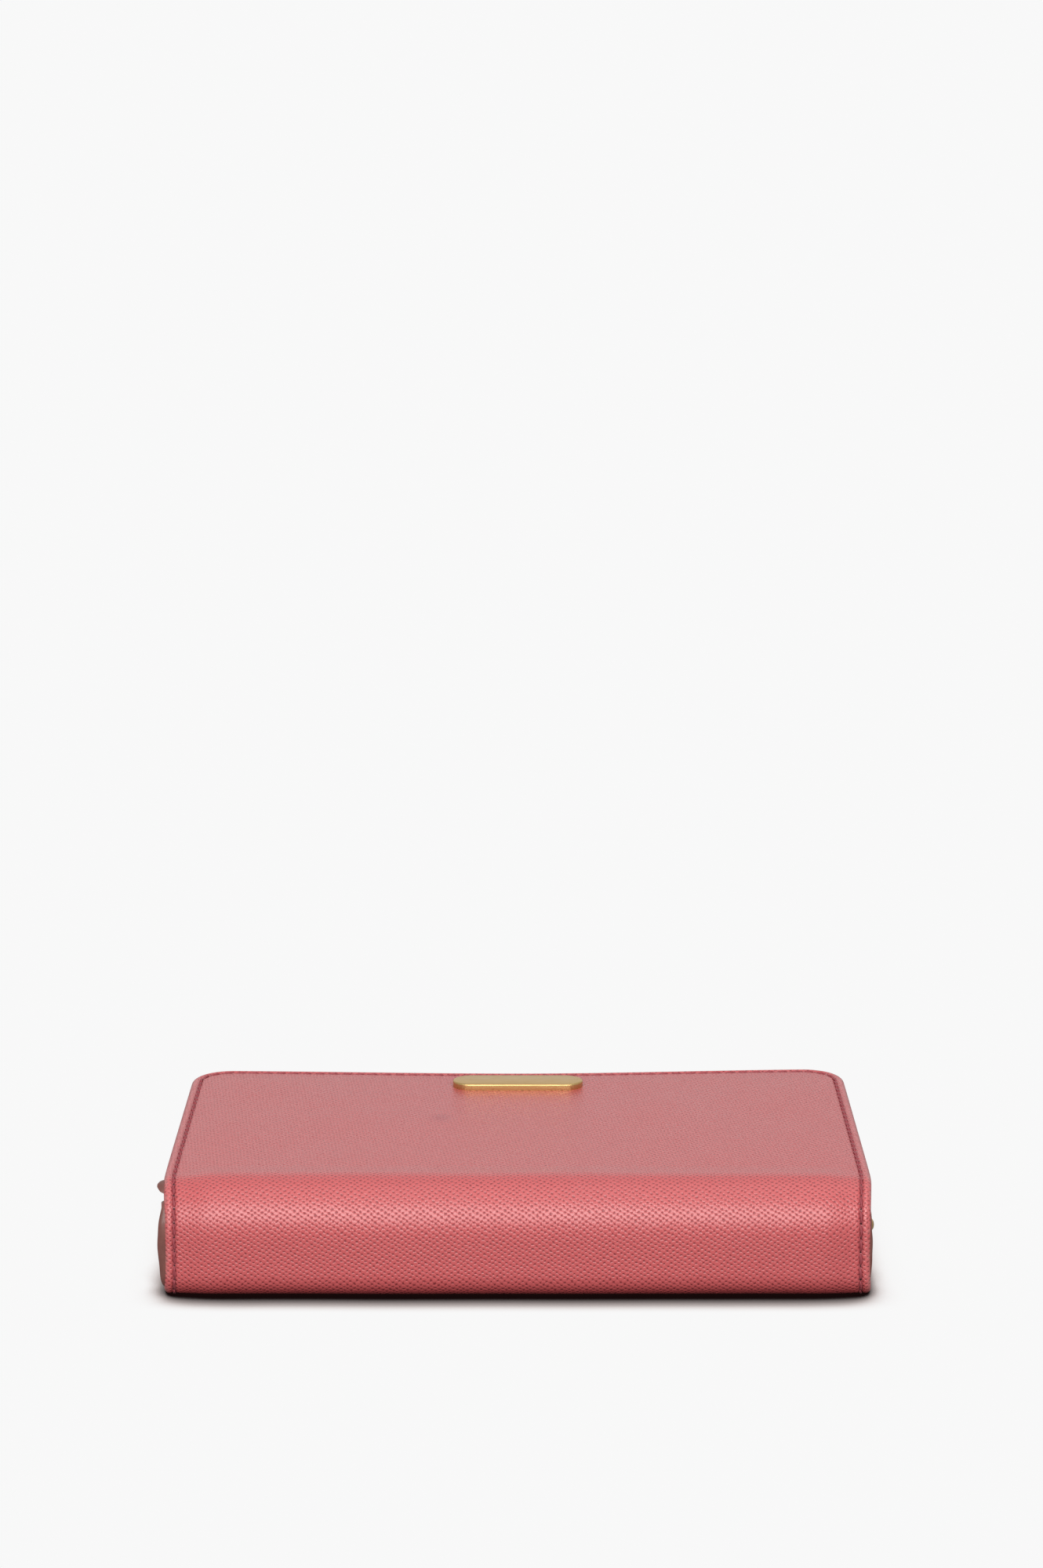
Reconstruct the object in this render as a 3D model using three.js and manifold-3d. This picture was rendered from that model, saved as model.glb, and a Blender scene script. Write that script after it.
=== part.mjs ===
// A zip-around wristlet wallet, closed and lying on its back cover.
// Millimetres, +Z up. X runs along the spine, the spine is on the -Y side and the zip opens at +Y.
// The origin is the middle of the footprint, on the surface that the back cover lies on.
import * as THREE from "three";
import { mergeVertices } from "three/addons/utils/BufferGeometryUtils.js";
import Module from "manifold-3d";

// Driving dimensions: the closed wallet.
const width = 160;
const depth = 100;
const thickness = 26.5;
const cornerRadius = 10; // two corners of each cover at the zip side
const spineBend = 8; // outer radius where a cover turns into the spine

// Layers of each cover, from the outside in.
const leather = 1.2;
const board = 1.0;
const lining = 0.8;
const layerGap = 0.1; // glue line between stacked layers
const hingeGap = 0.3; // between the pieces of the two halves at mid height

// Card slots on each lining.
const cardSlots = 4;
const slotLeather = 0.6;
const slotSideGap = 2; // from the gussets' folds to the slots
const slotNear = 9; // from the inside of the spine to the slots
const slotFarGap = 14.3; // from the middle of the zip tape to the first slot's mouth
const slotStep = 9; // each next strip is shorter by this

// Outer zip.
const zipInset = 3.5; // from a cover's edge to the middle of the tape
const tape = 0.8;
const tapeBendGap = 0.3; // from the end of the spine's bend to the start of the tape
const teethWidth = 2.0;
const teethHeight = 1.3;
const slideClearance = 0.3;
const sliderLength = 8.5;
const sliderHeight = 7;
const sliderPlate = 1.2;

// Pull on the outer slider.
const bridgeWidth = 2.4;
const bridgeSpan = 5.4;
const bridgeRise = 2.9;
const bridgeWall = 0.8;
const stirrupWidth = 9;
const stirrupLength = 8;
const stirrupBar = 0.9;
const pullWidth = 8;
const pullLength = 27;
const pullLeather = 2.1;

// Ring for a wrist strap, on the leather tab at the zip's left end.
const tabHeight = 9;
const tabLeather = 0.8;
const tabNear = 2.0; // from the spine's front to the tab's end
const ringBar = 1.4;
const ringInside = 11; // along the ring's straight bar
const ringReach = 9.5; // from the bar's middle to the outside of the bow
const ringClearance = 0.3;
const ringSetback = 17; // from the spine's front to the ring's bar

// Zipped coin pocket between the two halves.
const pocketHeight = 5.1;
const pocketLeather = 0.9;
const pocketSideGap = 3.5; // to the middle of the outer tape
const pocketNear = 10; // from the spine's front
const pocketFar = 12; // from the far edge
const coinTape = 0.6;
const coinTeeth = 1.2;
const coinTeethHeight = 2.0;
const coinPlate = 1.0;
const coinSliderLength = 6.5;
const coinSliderHeight = 4.4;
const coinPullLength = 15;
const coinPullHeight = 3.6;
const coinPullThickness = 0.8;

// Pleated gussets beside the coin pocket.
const gussetLeather = 0.8;
const gussetFold = 6; // how far the pleat reaches in

// Plain plaque on the front cover.
const plaqueWidth = 32;
const plaqueDepth = 9;
const plaqueHeight = 1.5;
const plaqueBevel = 0.5;
const plaqueBack = 13.5; // from the far edge to the plaque's middle
const postRadius = 0.8;
const postSpacing = 20;
const postClearance = 0.2;
const washerRadius = 2.6;
const washerThickness = 0.5;

// Sizes worked out from the ones above.
const halfWidth = width / 2;
const halfDepth = depth / 2;
const middle = thickness / 2;
const boardBottom = leather + layerGap;
const liningBottom = boardBottom + board + layerGap;
const coverTop = liningBottom + lining;
const halfTop = middle - hingeGap / 2;
const bendY = -halfDepth + spineBend;
const tapeX = halfWidth - zipInset;
const tapeY = halfDepth - zipInset;
const tapeStart = bendY + tapeBendGap;
const teethFace = tapeX + teethWidth / 2;
const pocketHalfWidth = tapeX - pocketSideGap;
const pocketStart = -halfDepth + pocketNear;
const pocketEnd = halfDepth - pocketFar;
const roundSteps = 8;

const colours = {
  leather: [0xc26a70, 0.5, 0],
  lining: [0xb8646b, 0.7, 0],
  board: [0xcbb79a, 0.9, 0],
  edge: [0x5b3028, 0.6, 0],
  tape: [0xa84f5a, 0.9, 0],
  gold: [0xd9b46a, 0.25, 1],
};

const wasm = await Module();
wasm.setup();

function toSolid(geometry) {
  const bare = geometry.index ? geometry.toNonIndexed() : geometry.clone();
  bare.deleteAttribute("normal");
  bare.deleteAttribute("uv");
  const merged = mergeVertices(bare, 1e-4);
  return new wasm.Manifold(
    new wasm.Mesh({
      numProp: 3,
      vertProperties: merged.attributes.position.array,
      triVerts: new Uint32Array(merged.index.array),
    }),
  );
}

function toGeometry(solid) {
  const mesh = solid.getMesh();
  const geometry = new THREE.BufferGeometry();
  geometry.setAttribute("position", new THREE.BufferAttribute(mesh.vertProperties, 3));
  geometry.setIndex(new THREE.BufferAttribute(mesh.triVerts, 1));
  geometry.computeVertexNormals();
  return geometry;
}

function join(first, ...others) {
  return toGeometry(others.reduce((sum, g) => sum.add(toSolid(g)), toSolid(first)));
}

function cut(first, ...tools) {
  return toGeometry(tools.reduce((sum, g) => sum.subtract(toSolid(g)), toSolid(first)));
}

function addPiece(group, name, geometry, colour) {
  const [color, roughness, metalness] = colours[colour];
  const material = new THREE.MeshStandardMaterial({ color, roughness, metalness });
  const mesh = new THREE.Mesh(geometry, material);
  mesh.name = name;
  group.add(mesh);
  return mesh;
}

// A block between two corners.
function block([x0, y0, z0], [x1, y1, z1]) {
  const geometry = new THREE.BoxGeometry(x1 - x0, y1 - y0, z1 - z0);
  return geometry.translate((x0 + x1) / 2, (y0 + y1) / 2, (z0 + z1) / 2);
}

function extrude(shape, height, bevel = 0) {
  return new THREE.ExtrudeGeometry(shape, {
    depth: height - 2 * bevel,
    bevelEnabled: bevel > 0,
    bevelThickness: bevel,
    bevelSize: bevel,
    bevelOffset: -bevel,
    bevelSegments: 2,
    curveSegments: roundSteps,
  }).translate(0, 0, bevel);
}

// A shape drawn on X and Y, raised from one height to another.
function slab(shape, bottom, top) {
  return extrude(shape, top - bottom).translate(0, 0, bottom);
}

// A section drawn on Y and Z, run along X between two places.
function alongX(shape, x0, x1, bevel = 0) {
  const turn = new THREE.Matrix4().makeBasis(
    new THREE.Vector3(0, 1, 0),
    new THREE.Vector3(0, 0, 1),
    new THREE.Vector3(1, 0, 0),
  );
  return extrude(shape, x1 - x0, bevel).applyMatrix4(turn).translate(x0, 0, 0);
}

// A section drawn on X and Z, run along Y between two places.
function alongY(shape, y0, y1) {
  return extrude(shape, y1 - y0).rotateX(Math.PI / 2).translate(0, y1, 0);
}

// Square corners at the near edge, round ones at the far edge.
function coverShape(halfSpan, near, far, radius) {
  const shape = new THREE.Shape();
  shape.moveTo(-halfSpan, near);
  shape.lineTo(halfSpan, near);
  shape.lineTo(halfSpan, far - radius);
  shape.absarc(halfSpan - radius, far - radius, radius, 0, Math.PI / 2, false);
  shape.lineTo(radius - halfSpan, far);
  shape.absarc(radius - halfSpan, far - radius, radius, Math.PI / 2, Math.PI, false);
  shape.closePath();
  return shape;
}

// A band that runs up the left side, round the far corners and down the right side.
function zipBand(bandWidth, bottom, top) {
  const outside = bandWidth / 2;
  const radius = cornerRadius - zipInset;
  const outer = coverShape(tapeX + outside, tapeStart, tapeY + outside, radius + outside);
  const inner = coverShape(tapeX - outside, tapeStart - 1, tapeY - outside, radius - outside);
  return cut(slab(outer, bottom, top), slab(inner, bottom - 1, top + 1));
}

// Half of the spine: a quarter turn out of the cover, then straight up to mid height.
// The two depths are measured inwards from the wallet's outer face.
function spineHalf(outside, inside, halfSpan) {
  const shape = new THREE.Shape();
  shape.moveTo(bendY, outside);
  shape.lineTo(bendY, inside);
  shape.absarc(bendY, spineBend, spineBend - inside, -Math.PI / 2, -Math.PI, true);
  shape.lineTo(-halfDepth + inside, halfTop);
  shape.lineTo(-halfDepth + outside, halfTop);
  shape.lineTo(-halfDepth + outside, spineBend);
  shape.absarc(bendY, spineBend, spineBend - outside, Math.PI, 1.5 * Math.PI, false);
  return alongX(shape, -halfSpan, halfSpan);
}

// The leather of one cover with its turned edge and its half of the spine.
function coverLeather() {
  const inset = leather;
  const outer = coverShape(halfWidth, bendY, halfDepth, cornerRadius);
  const inner = coverShape(halfWidth - inset, bendY - 1, halfDepth - inset, cornerRadius - inset);
  const tray = cut(slab(outer, 0, coverTop), slab(inner, leather, coverTop + 1));
  return join(tray, spineHalf(0, leather, halfWidth));
}

// A flat layer that lies inside the turned edge.
function coverLayer(bottom, height, near) {
  const inset = leather + layerGap;
  const shape = coverShape(halfWidth - inset, near, halfDepth - inset, cornerRadius - inset);
  return slab(shape, bottom, bottom + height);
}

// The lining follows the spine too, so the inside shows no raw leather.
function coverLining() {
  const halfSpan = halfWidth - leather - layerGap;
  return join(coverLayer(liningBottom, lining, bendY), spineHalf(liningBottom, coverTop, halfSpan));
}

function cardSlotStrip(index) {
  const bottom = coverTop + layerGap + index * (slotLeather + layerGap);
  const near = -halfDepth + leather + slotNear;
  const far = tapeY - slotFarGap - index * slotStep;
  const halfSpan = pocketHalfWidth - gussetFold - slotSideGap;
  return block([-halfSpan, near, bottom], [halfSpan, far, bottom + slotLeather]);
}

// Everything that rides on one cover, built as the lower half.
function addCoverHalf(group, side, holes) {
  const bored = (geometry) => (holes.length ? cut(geometry, ...holes) : geometry);
  addPiece(group, `${side}_leather`, bored(coverLeather()), "leather");
  addPiece(group, `${side}_board`, bored(coverLayer(boardBottom, board, bendY)), "board");
  addPiece(group, `${side}_lining`, coverLining(), "lining");
  for (let i = 0; i < cardSlots; i += 1) {
    addPiece(group, `${side}_card_slot_${i + 1}`, cardSlotStrip(i), "lining");
  }
  const teethBottom = halfTop - teethHeight;
  addPiece(group, `${side}_zip_tape`, zipBand(tape, coverTop + layerGap, teethBottom - layerGap), "tape");
  addPiece(group, `${side}_zip_teeth`, zipBand(teethWidth, teethBottom, halfTop), "gold");
}

// Plaque with its two posts, drawn as on the lower half: it hangs below the cover's outer face.
const plaqueY = halfDepth - plaqueBack;
const postDepth = leather + layerGap + washerThickness;

function post(side, radius, bottom, top) {
  const geometry = new THREE.CylinderGeometry(radius, radius, top - bottom, 16);
  geometry.rotateX(Math.PI / 2);
  return geometry.translate((side * postSpacing) / 2, plaqueY, (bottom + top) / 2);
}

function plaqueShape() {
  const shape = new THREE.Shape();
  const end = (plaqueWidth - plaqueDepth) / 2;
  shape.absarc(end, 0, plaqueDepth / 2, -Math.PI / 2, Math.PI / 2, false);
  shape.absarc(-end, 0, plaqueDepth / 2, Math.PI / 2, 1.5 * Math.PI, false);
  shape.closePath();
  return shape;
}

function addPlaque(group) {
  const plate = extrude(plaqueShape(), plaqueHeight, plaqueBevel);
  plate.translate(0, plaqueY, -plaqueHeight);
  const root = -plaqueHeight / 2;
  const posts = [-1, 1].map((side) => post(side, postRadius, root, postDepth));
  addPiece(group, "plaque", join(plate, ...posts), "gold");
  for (const [side, word] of [[-1, "left"], [1, "right"]]) {
    const disc = post(side, washerRadius, leather + layerGap, postDepth);
    const hole = post(side, postRadius + postClearance, 0, postDepth + 1);
    addPiece(group, `plaque_washer_${word}`, cut(disc, hole), "gold");
  }
}

// Holes for the posts in the leather, and for the washers in the board.
function plaqueHoles() {
  return [-1, 1].flatMap((side) => [
    post(side, postRadius + postClearance, -1, boardBottom + board + layerGap / 2),
    post(side, washerRadius + postClearance, leather + layerGap / 2, boardBottom + board + layerGap / 2),
  ]);
}

// Coin pocket: two panels with an edge strip at both sides and at the spine side.
function addCoinPocket(group) {
  const low = middle - pocketHeight / 2;
  const high = middle + pocketHeight / 2;
  const inside = pocketLeather + layerGap;
  const panel = (bottom) =>
    block([-pocketHalfWidth, pocketStart, bottom], [pocketHalfWidth, pocketEnd, bottom + pocketLeather]);
  addPiece(group, "coin_pocket_back_panel", panel(low), "lining");
  addPiece(group, "coin_pocket_front_panel", panel(high - pocketLeather), "lining");
  const ringOut = block(
    [-pocketHalfWidth, pocketStart, low + inside],
    [pocketHalfWidth, pocketEnd, high - inside],
  );
  const ringIn = block(
    [-pocketHalfWidth + pocketLeather, pocketStart + pocketLeather, low],
    [pocketHalfWidth - pocketLeather, pocketEnd + 1, high],
  );
  addPiece(group, "coin_pocket_edge", cut(ringOut, ringIn), "lining");
}

// The coin pocket's zip closes its far side.
const coinTapeY = pocketEnd + layerGap;
const coinTeethY = coinTapeY + coinTape + layerGap;
const coinPlateY = coinTeethY + coinTeeth + slideClearance;

function addCoinZip(group) {
  const half = pocketHalfWidth - 2;
  const tapeHalf = pocketHeight / 2 - layerGap;
  const teethHalf = coinTeethHeight / 2;
  const strip = block(
    [-half, coinTapeY, middle - tapeHalf],
    [half, coinTapeY + coinTape, middle + tapeHalf],
  );
  const teeth = block(
    [-half + 2, coinTeethY, middle - teethHalf],
    [half - 2, coinTeethY + coinTeeth, middle + teethHalf],
  );
  addPiece(group, "coin_zip_tape", strip, "tape");
  addPiece(group, "coin_zip_teeth", teeth, "gold");
}

function addCoinSlider(group) {
  const start = -pocketHalfWidth + 8;
  const end = start + coinSliderLength;
  const plateHalf = coinSliderHeight / 2;
  const plate = block(
    [start, coinPlateY, middle - plateHalf],
    [end, coinPlateY + coinPlate, middle + plateHalf],
  );
  const pullY = coinPlateY + coinPlate + layerGap;
  const pullHalf = coinPullHeight / 2;
  const pull = block(
    [start + 2, pullY, middle - pullHalf],
    [start + 2 + coinPullLength, pullY + coinPullThickness, middle + pullHalf],
  );
  addPiece(group, "coin_slider", plate, "gold");
  addPiece(group, "coin_pull", pull, "gold");
}

// One pleat: a V lying on its side, open outwards, from a lining up to the coin pocket.
function gussetShape() {
  const low = coverTop + slideClearance;
  const high = middle - pocketHeight / 2 - slideClearance;
  const fold = (low + high) / 2;
  const outside = pocketHalfWidth;
  const inside = outside - gussetFold;
  const shape = new THREE.Shape();
  shape.moveTo(outside, low);
  shape.lineTo(outside, low + gussetLeather);
  shape.lineTo(inside + gussetLeather, fold);
  shape.lineTo(outside, high - gussetLeather);
  shape.lineTo(outside, high);
  shape.lineTo(inside, fold + gussetLeather);
  shape.lineTo(inside, fold - gussetLeather);
  shape.closePath();
  return shape;
}

function addGussets(lowerGroup, upperGroup) {
  const right = alongY(gussetShape(), pocketStart, pocketEnd);
  const left = right.clone().rotateZ(Math.PI).translate(0, pocketStart + pocketEnd, 0);
  for (const [group, side] of [[lowerGroup, "back"], [upperGroup, "front"]]) {
    addPiece(group, `gusset_${side}_left`, left.clone(), "leather");
    addPiece(group, `gusset_${side}_right`, right.clone(), "leather");
  }
}

// Outer slider, parked at the right end of the zip, with a bridge for the pull.
const sliderY = tapeStart + sliderLength / 2 + 2;
const plateX = teethFace + slideClearance;
const bridgeX = plateX + sliderPlate;
const pullX = bridgeX + (bridgeRise - bridgeWall) / 2;

function bridge() {
  const out = block(
    [bridgeX - 0.2, sliderY - bridgeSpan / 2, middle - bridgeWidth / 2],
    [bridgeX + bridgeRise, sliderY + bridgeSpan / 2, middle + bridgeWidth / 2],
  );
  const eye = block(
    [bridgeX, sliderY - bridgeSpan / 2 + bridgeWall, middle - bridgeWidth],
    [bridgeX + bridgeRise - bridgeWall, sliderY + bridgeSpan / 2 - bridgeWall, middle + bridgeWidth],
  );
  return cut(out, eye);
}

function addSlider(group) {
  const near = sliderY - sliderLength / 2;
  const far = sliderY + sliderLength / 2;
  const low = middle - sliderHeight / 2;
  const high = middle + sliderHeight / 2;
  const outerPlate = block([plateX, near, low], [plateX + sliderPlate, far, high]);
  const innerFace = tapeX - teethWidth / 2 - slideClearance;
  const innerPlate = block([innerFace - sliderPlate, near, low], [innerFace, far, high]);
  addPiece(group, "zip_slider_outer", join(outerPlate, bridge()), "gold");
  addPiece(group, "zip_slider_inner", innerPlate, "gold");
}

// A flat metal frame whose near bar runs through the bridge, and a leather tab on its far bar.
function rectangle(y0, z0, y1, z1) {
  const shape = new THREE.Shape();
  shape.moveTo(y0, z0);
  shape.lineTo(y1, z0);
  shape.lineTo(y1, z1);
  shape.lineTo(y0, z1);
  shape.closePath();
  return shape;
}

function addPull(group) {
  const half = stirrupBar / 2;
  const nearY = sliderY - half;
  const farY = nearY + stirrupLength;
  const zHalf = stirrupWidth / 2;
  const frame = rectangle(nearY, middle - zHalf, farY, middle + zHalf);
  const hole = rectangle(
    nearY + stirrupBar,
    middle - zHalf + stirrupBar,
    farY - stirrupBar,
    middle + zHalf - stirrupBar,
  );
  frame.holes.push(hole);
  addPiece(group, "zip_pull_stirrup", alongX(frame, pullX - half, pullX + half), "gold");
  const tabNearY = farY - stirrupBar - slideClearance - tabLeather;
  const zTab = Math.min(pullWidth, stirrupWidth - 2 * (stirrupBar + slideClearance)) / 2;
  const tab = rectangle(tabNearY, middle - zTab, tabNearY + pullLength, middle + zTab);
  const eye = rectangle(
    farY - stirrupBar - slideClearance,
    middle - zHalf,
    farY + slideClearance,
    middle + zHalf,
  );
  const eyeHalf = half + slideClearance / 2;
  const leatherTab = alongX(tab, pullX - pullLeather / 2, pullX + pullLeather / 2);
  const eyeTool = alongX(eye, pullX - eyeHalf, pullX + eyeHalf);
  addPiece(group, "zip_pull_leather", cut(leatherTab, eyeTool), "leather");
}

// Leather loop at the left end of the zip, and the ring whose straight bar turns in it.
const ringEye = ringBar * Math.SQRT1_2 + ringClearance;
const loopRadius = ringEye + tabLeather;
const ringX = -(teethFace + slideClearance + loopRadius);
const ringY = -halfDepth + ringSetback;

function addRingTab(group) {
  const loop = new THREE.Shape();
  const near = -halfDepth + tabNear;
  loop.moveTo(ringX - tabLeather, near);
  loop.lineTo(ringX + tabLeather, near);
  loop.lineTo(ringX + tabLeather, ringY);
  loop.lineTo(ringX - tabLeather, ringY);
  loop.closePath();
  const low = middle - tabHeight / 2;
  const high = middle + tabHeight / 2;
  const tail = slab(loop, low, high);
  const barrel = new THREE.CylinderGeometry(loopRadius, loopRadius, tabHeight, 24);
  const eye = new THREE.CylinderGeometry(ringEye, ringEye, tabHeight + 2, 24);
  for (const round of [barrel, eye]) {
    round.rotateX(Math.PI / 2).translate(ringX, ringY, middle);
  }
  addPiece(group, "ring_tab", cut(join(tail, barrel), eye), "edge");
}

// D shape on Y and Z: straight bar at y = 0, bow towards +Y.
function ringShape(zHalf, y0, y1) {
  const shape = new THREE.Shape();
  const radius = Math.min(zHalf, y1 - y0) * 0.8;
  shape.moveTo(y0, -zHalf);
  shape.lineTo(y1 - radius, -zHalf);
  shape.absarc(y1 - radius, -zHalf + radius, radius, -Math.PI / 2, 0, false);
  shape.absarc(y1 - radius, zHalf - radius, radius, 0, Math.PI / 2, false);
  shape.lineTo(y0, zHalf);
  shape.closePath();
  return shape;
}

function addRing(group) {
  const half = ringBar / 2;
  const frame = ringShape(ringInside / 2 + ringBar, -half, ringReach);
  frame.holes.push(ringShape(ringInside / 2, half, ringReach - ringBar));
  const ring = alongX(frame, -half, half, ringBar * 0.2);
  addPiece(group, "strap_ring", ring.translate(ringX, ringY, middle), "gold");
}

const wallet = new THREE.Group();
const backHalf = new THREE.Group();
const frontHalf = new THREE.Group(); // the same half, turned over in height
frontHalf.scale.z = -1;
frontHalf.position.z = thickness;
const centre = new THREE.Group();
wallet.add(backHalf, frontHalf, centre);

addCoverHalf(backHalf, "back", []);
addCoverHalf(frontHalf, "front", plaqueHoles());
addPlaque(frontHalf);
addCoinPocket(centre);
addCoinZip(centre);
addCoinSlider(centre);
addGussets(backHalf, frontHalf);
addSlider(backHalf);
addPull(backHalf);
addRingTab(backHalf);
addRing(backHalf);

export default wallet;
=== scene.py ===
# A zip-around wristlet wallet in coral cross-grain leather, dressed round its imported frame.
# Sizes in the dictionaries are millimetres; mm() turns them into the scene's metres.
import math

import bmesh
import bpy
import numpy as np
from mathutils import Matrix, Vector, noise


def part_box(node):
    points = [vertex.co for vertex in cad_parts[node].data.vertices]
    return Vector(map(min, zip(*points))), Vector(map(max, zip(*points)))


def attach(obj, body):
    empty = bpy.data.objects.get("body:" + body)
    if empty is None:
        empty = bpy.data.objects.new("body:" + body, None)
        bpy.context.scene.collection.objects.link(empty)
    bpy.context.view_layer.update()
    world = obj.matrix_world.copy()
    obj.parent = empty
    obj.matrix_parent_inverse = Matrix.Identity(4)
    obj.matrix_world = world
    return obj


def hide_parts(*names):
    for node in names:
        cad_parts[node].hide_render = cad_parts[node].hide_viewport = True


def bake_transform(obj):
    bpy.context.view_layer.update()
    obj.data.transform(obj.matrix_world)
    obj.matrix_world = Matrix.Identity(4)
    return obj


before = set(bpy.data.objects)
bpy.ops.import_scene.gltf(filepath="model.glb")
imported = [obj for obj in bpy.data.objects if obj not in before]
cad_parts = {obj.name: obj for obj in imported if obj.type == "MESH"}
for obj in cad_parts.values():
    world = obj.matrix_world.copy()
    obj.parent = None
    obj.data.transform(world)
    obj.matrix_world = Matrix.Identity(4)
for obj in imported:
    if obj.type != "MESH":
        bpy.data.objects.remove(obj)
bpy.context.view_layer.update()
print("frame loaded")


def mm(value):
    return value * 0.001


# sizes read from the frame
backLow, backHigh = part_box("back_leather")
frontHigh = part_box("front_leather")[1]
boardLow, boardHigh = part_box("back_board")
halfWidth = backHigh.x
farY = backHigh.y
spineY = backLow.y
topZ = frontHigh.z
midZ = topZ / 2
backBend = mm(5.5)  # radius where the back cover turns into the spine
frontBend = mm(11.5)  # the upper bend has settled into a wider curve
coverWall = boardHigh.z + (boardLow.z - backLow.z) * 0.7  # leather, board and a little padding

shell = {
    "corner": 10.0,
    "rimRound": 1.25,  # how softly the turned edge rolls over
    "rimBead": 0.14,  # the turned edge stands this proud
    "seamInset": 2.3,
    "seamDepth": 0.36,
    "seamSpread": 0.48,
    "puff": 0.32,
    "puffReach": 9.0,
    "wave": 0.32,
    "waveScale": 27.0,
    "farLift": (0.7, 0.0, 1.1),  # front cover's far edge at left, middle and right
    "spineBulge": 1.3,
    "bulgeReach": 24.0,
    "lean": 0.45,
    "flare": 0.75,  # each cover is this much wider than the spine, at each side
    "wall": 2.4,  # thickness at the spine
    "innerRound": 0.7,
    "step": 1.6,  # spacing of the mesh away from the rim
}


def put(tree, kind, inputs=None, **settings):
    made = tree.nodes.new(kind)
    for key, value in settings.items():
        setattr(made, key, value)
    for key, value in (inputs or {}).items():
        if isinstance(value, bpy.types.NodeSocket):
            tree.links.new(value, made.inputs[key])
        else:
            made.inputs[key].default_value = value
    return made


def calc(tree, operation, a, b=0.0):
    return put(tree, "ShaderNodeMath", {0: a, 1: b}, operation=operation).outputs[0]


def times(tree, a, b):
    return calc(tree, "MULTIPLY", a, b)


def plus(tree, a, b):
    return calc(tree, "ADD", a, b)


def vecCalc(tree, operation, a, b=(0, 0, 0)):
    made = put(tree, "ShaderNodeVectorMath", {0: a, 1: b}, operation=operation)
    return made.outputs["Value" if operation == "DOT_PRODUCT" else "Vector"]


def scaled(tree, vector, factor):
    made = put(tree, "ShaderNodeVectorMath", {0: vector, "Scale": factor}, operation="SCALE")
    return made.outputs["Vector"]


def spread(tree, value, low, high, toLow=0.0, toHigh=1.0):
    sockets = {"Value": value, "From Min": low, "From Max": high, "To Min": toLow, "To Max": toHigh}
    return put(tree, "ShaderNodeMapRange", sockets, interpolation_type="SMOOTHSTEP").outputs[0]


def colourMix(tree, factor, a, b, mode="MIX"):
    made = put(tree, "ShaderNodeMix", {0: factor, 6: a, 7: b}, data_type="RGBA", blend_type=mode)
    return made.outputs[2]


def noiseAt(tree, vector, scale, detail=2.0, rough=0.5, output="Fac"):
    sockets = {"Vector": vector, "Scale": scale, "Detail": detail, "Roughness": rough}
    return put(tree, "ShaderNodeTexNoise", sockets).outputs[output]


def flatPlace(tree):
    # the piece's own flat pattern, in millimetres
    return put(tree, "ShaderNodeUVMap", uv_map="flat").outputs["UV"]


def objectPlace(tree):
    return put(tree, "ShaderNodeTexCoord").outputs["Object"]


def paint(tree, shader, colour):
    tree.links.new(colour, shader.inputs["Base Color"])


def surface(name, roughness, **sockets):
    material = bpy.data.materials.new(name)
    material.use_nodes = True
    tree = material.node_tree
    shader = tree.nodes["Principled BSDF"]
    shader.inputs["Roughness"].default_value = roughness
    for key, value in sockets.items():
        shader.inputs[key.replace("_", " ")].default_value = value
    return material, tree, shader


def bumpInto(tree, shader, height, depth):
    made = put(tree, "ShaderNodeBump", {"Height": height, "Distance": mm(depth), "Strength": 1.0})
    tree.links.new(made.outputs["Normal"], shader.inputs["Normal"])


coralLeather = {
    "base": (0.485, 0.072, 0.076, 1),
    "pebble": (0.535, 0.090, 0.093, 1),
    # pit: painted shade in the pressed pits where the lines cross
    "pit": (0.205, 0.017, 0.024, 1),
    "pitch": 0.95,  # between neighbouring pressed lines
    "angleA": -31.0,
    "angleB": 43.0,
    "wobble": 0.55,
    "depth": 0.125,
    "narrow": 5.0,  # higher for thinner pressed lines
    "roughness": 0.25,
}


def pressedLine(tree, place, angle, pitch):
    # 1 along the middle of a pressed line, 0 between two
    turn = math.radians(angle + 90)
    across = vecCalc(tree, "DOT_PRODUCT", place, (math.cos(turn), math.sin(turn), 0))
    wave = calc(tree, "COSINE", times(tree, across, 2 * math.pi / pitch))
    return times(tree, plus(tree, wave, 1.0), 0.5)


def crossGrain(tree, place, look):
    # two families of wobbly pressed lines; a pit is pressed where they cross, and its darker colour is painted
    # shade
    drift = vecCalc(tree, "SUBTRACT", noiseAt(tree, place, 0.55, 2.0, output="Color"), (0.5, 0.5, 0.5))
    bent = vecCalc(tree, "ADD", place, scaled(tree, drift, look["wobble"] * 1.6))
    fine = vecCalc(tree, "SUBTRACT", noiseAt(tree, place, 1.9, 1.0, output="Color"), (0.5, 0.5, 0.5))
    bent = vecCalc(tree, "ADD", bent, scaled(tree, fine, look["wobble"] * 0.45))
    lineA = pressedLine(tree, bent, look["angleA"], look["pitch"])
    lineB = pressedLine(tree, bent, look["angleB"], look["pitch"])
    crossing = times(tree, lineA, lineB)
    narrow = [calc(tree, "POWER", line, look["narrow"]) for line in (lineA, lineB)]
    deepest = calc(tree, "MAXIMUM", narrow[0], times(tree, narrow[1], 0.7))
    pit = calc(tree, "POWER", crossing, 1.6)
    pressed = plus(tree, times(tree, deepest, 0.40), times(tree, pit, 0.9))
    height = calc(tree, "SUBTRACT", 1.0, pressed)
    pores = noiseAt(tree, place, 6.5, 2.0)
    height = plus(tree, height, times(tree, pores, 0.16))
    return height, crossing


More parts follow.
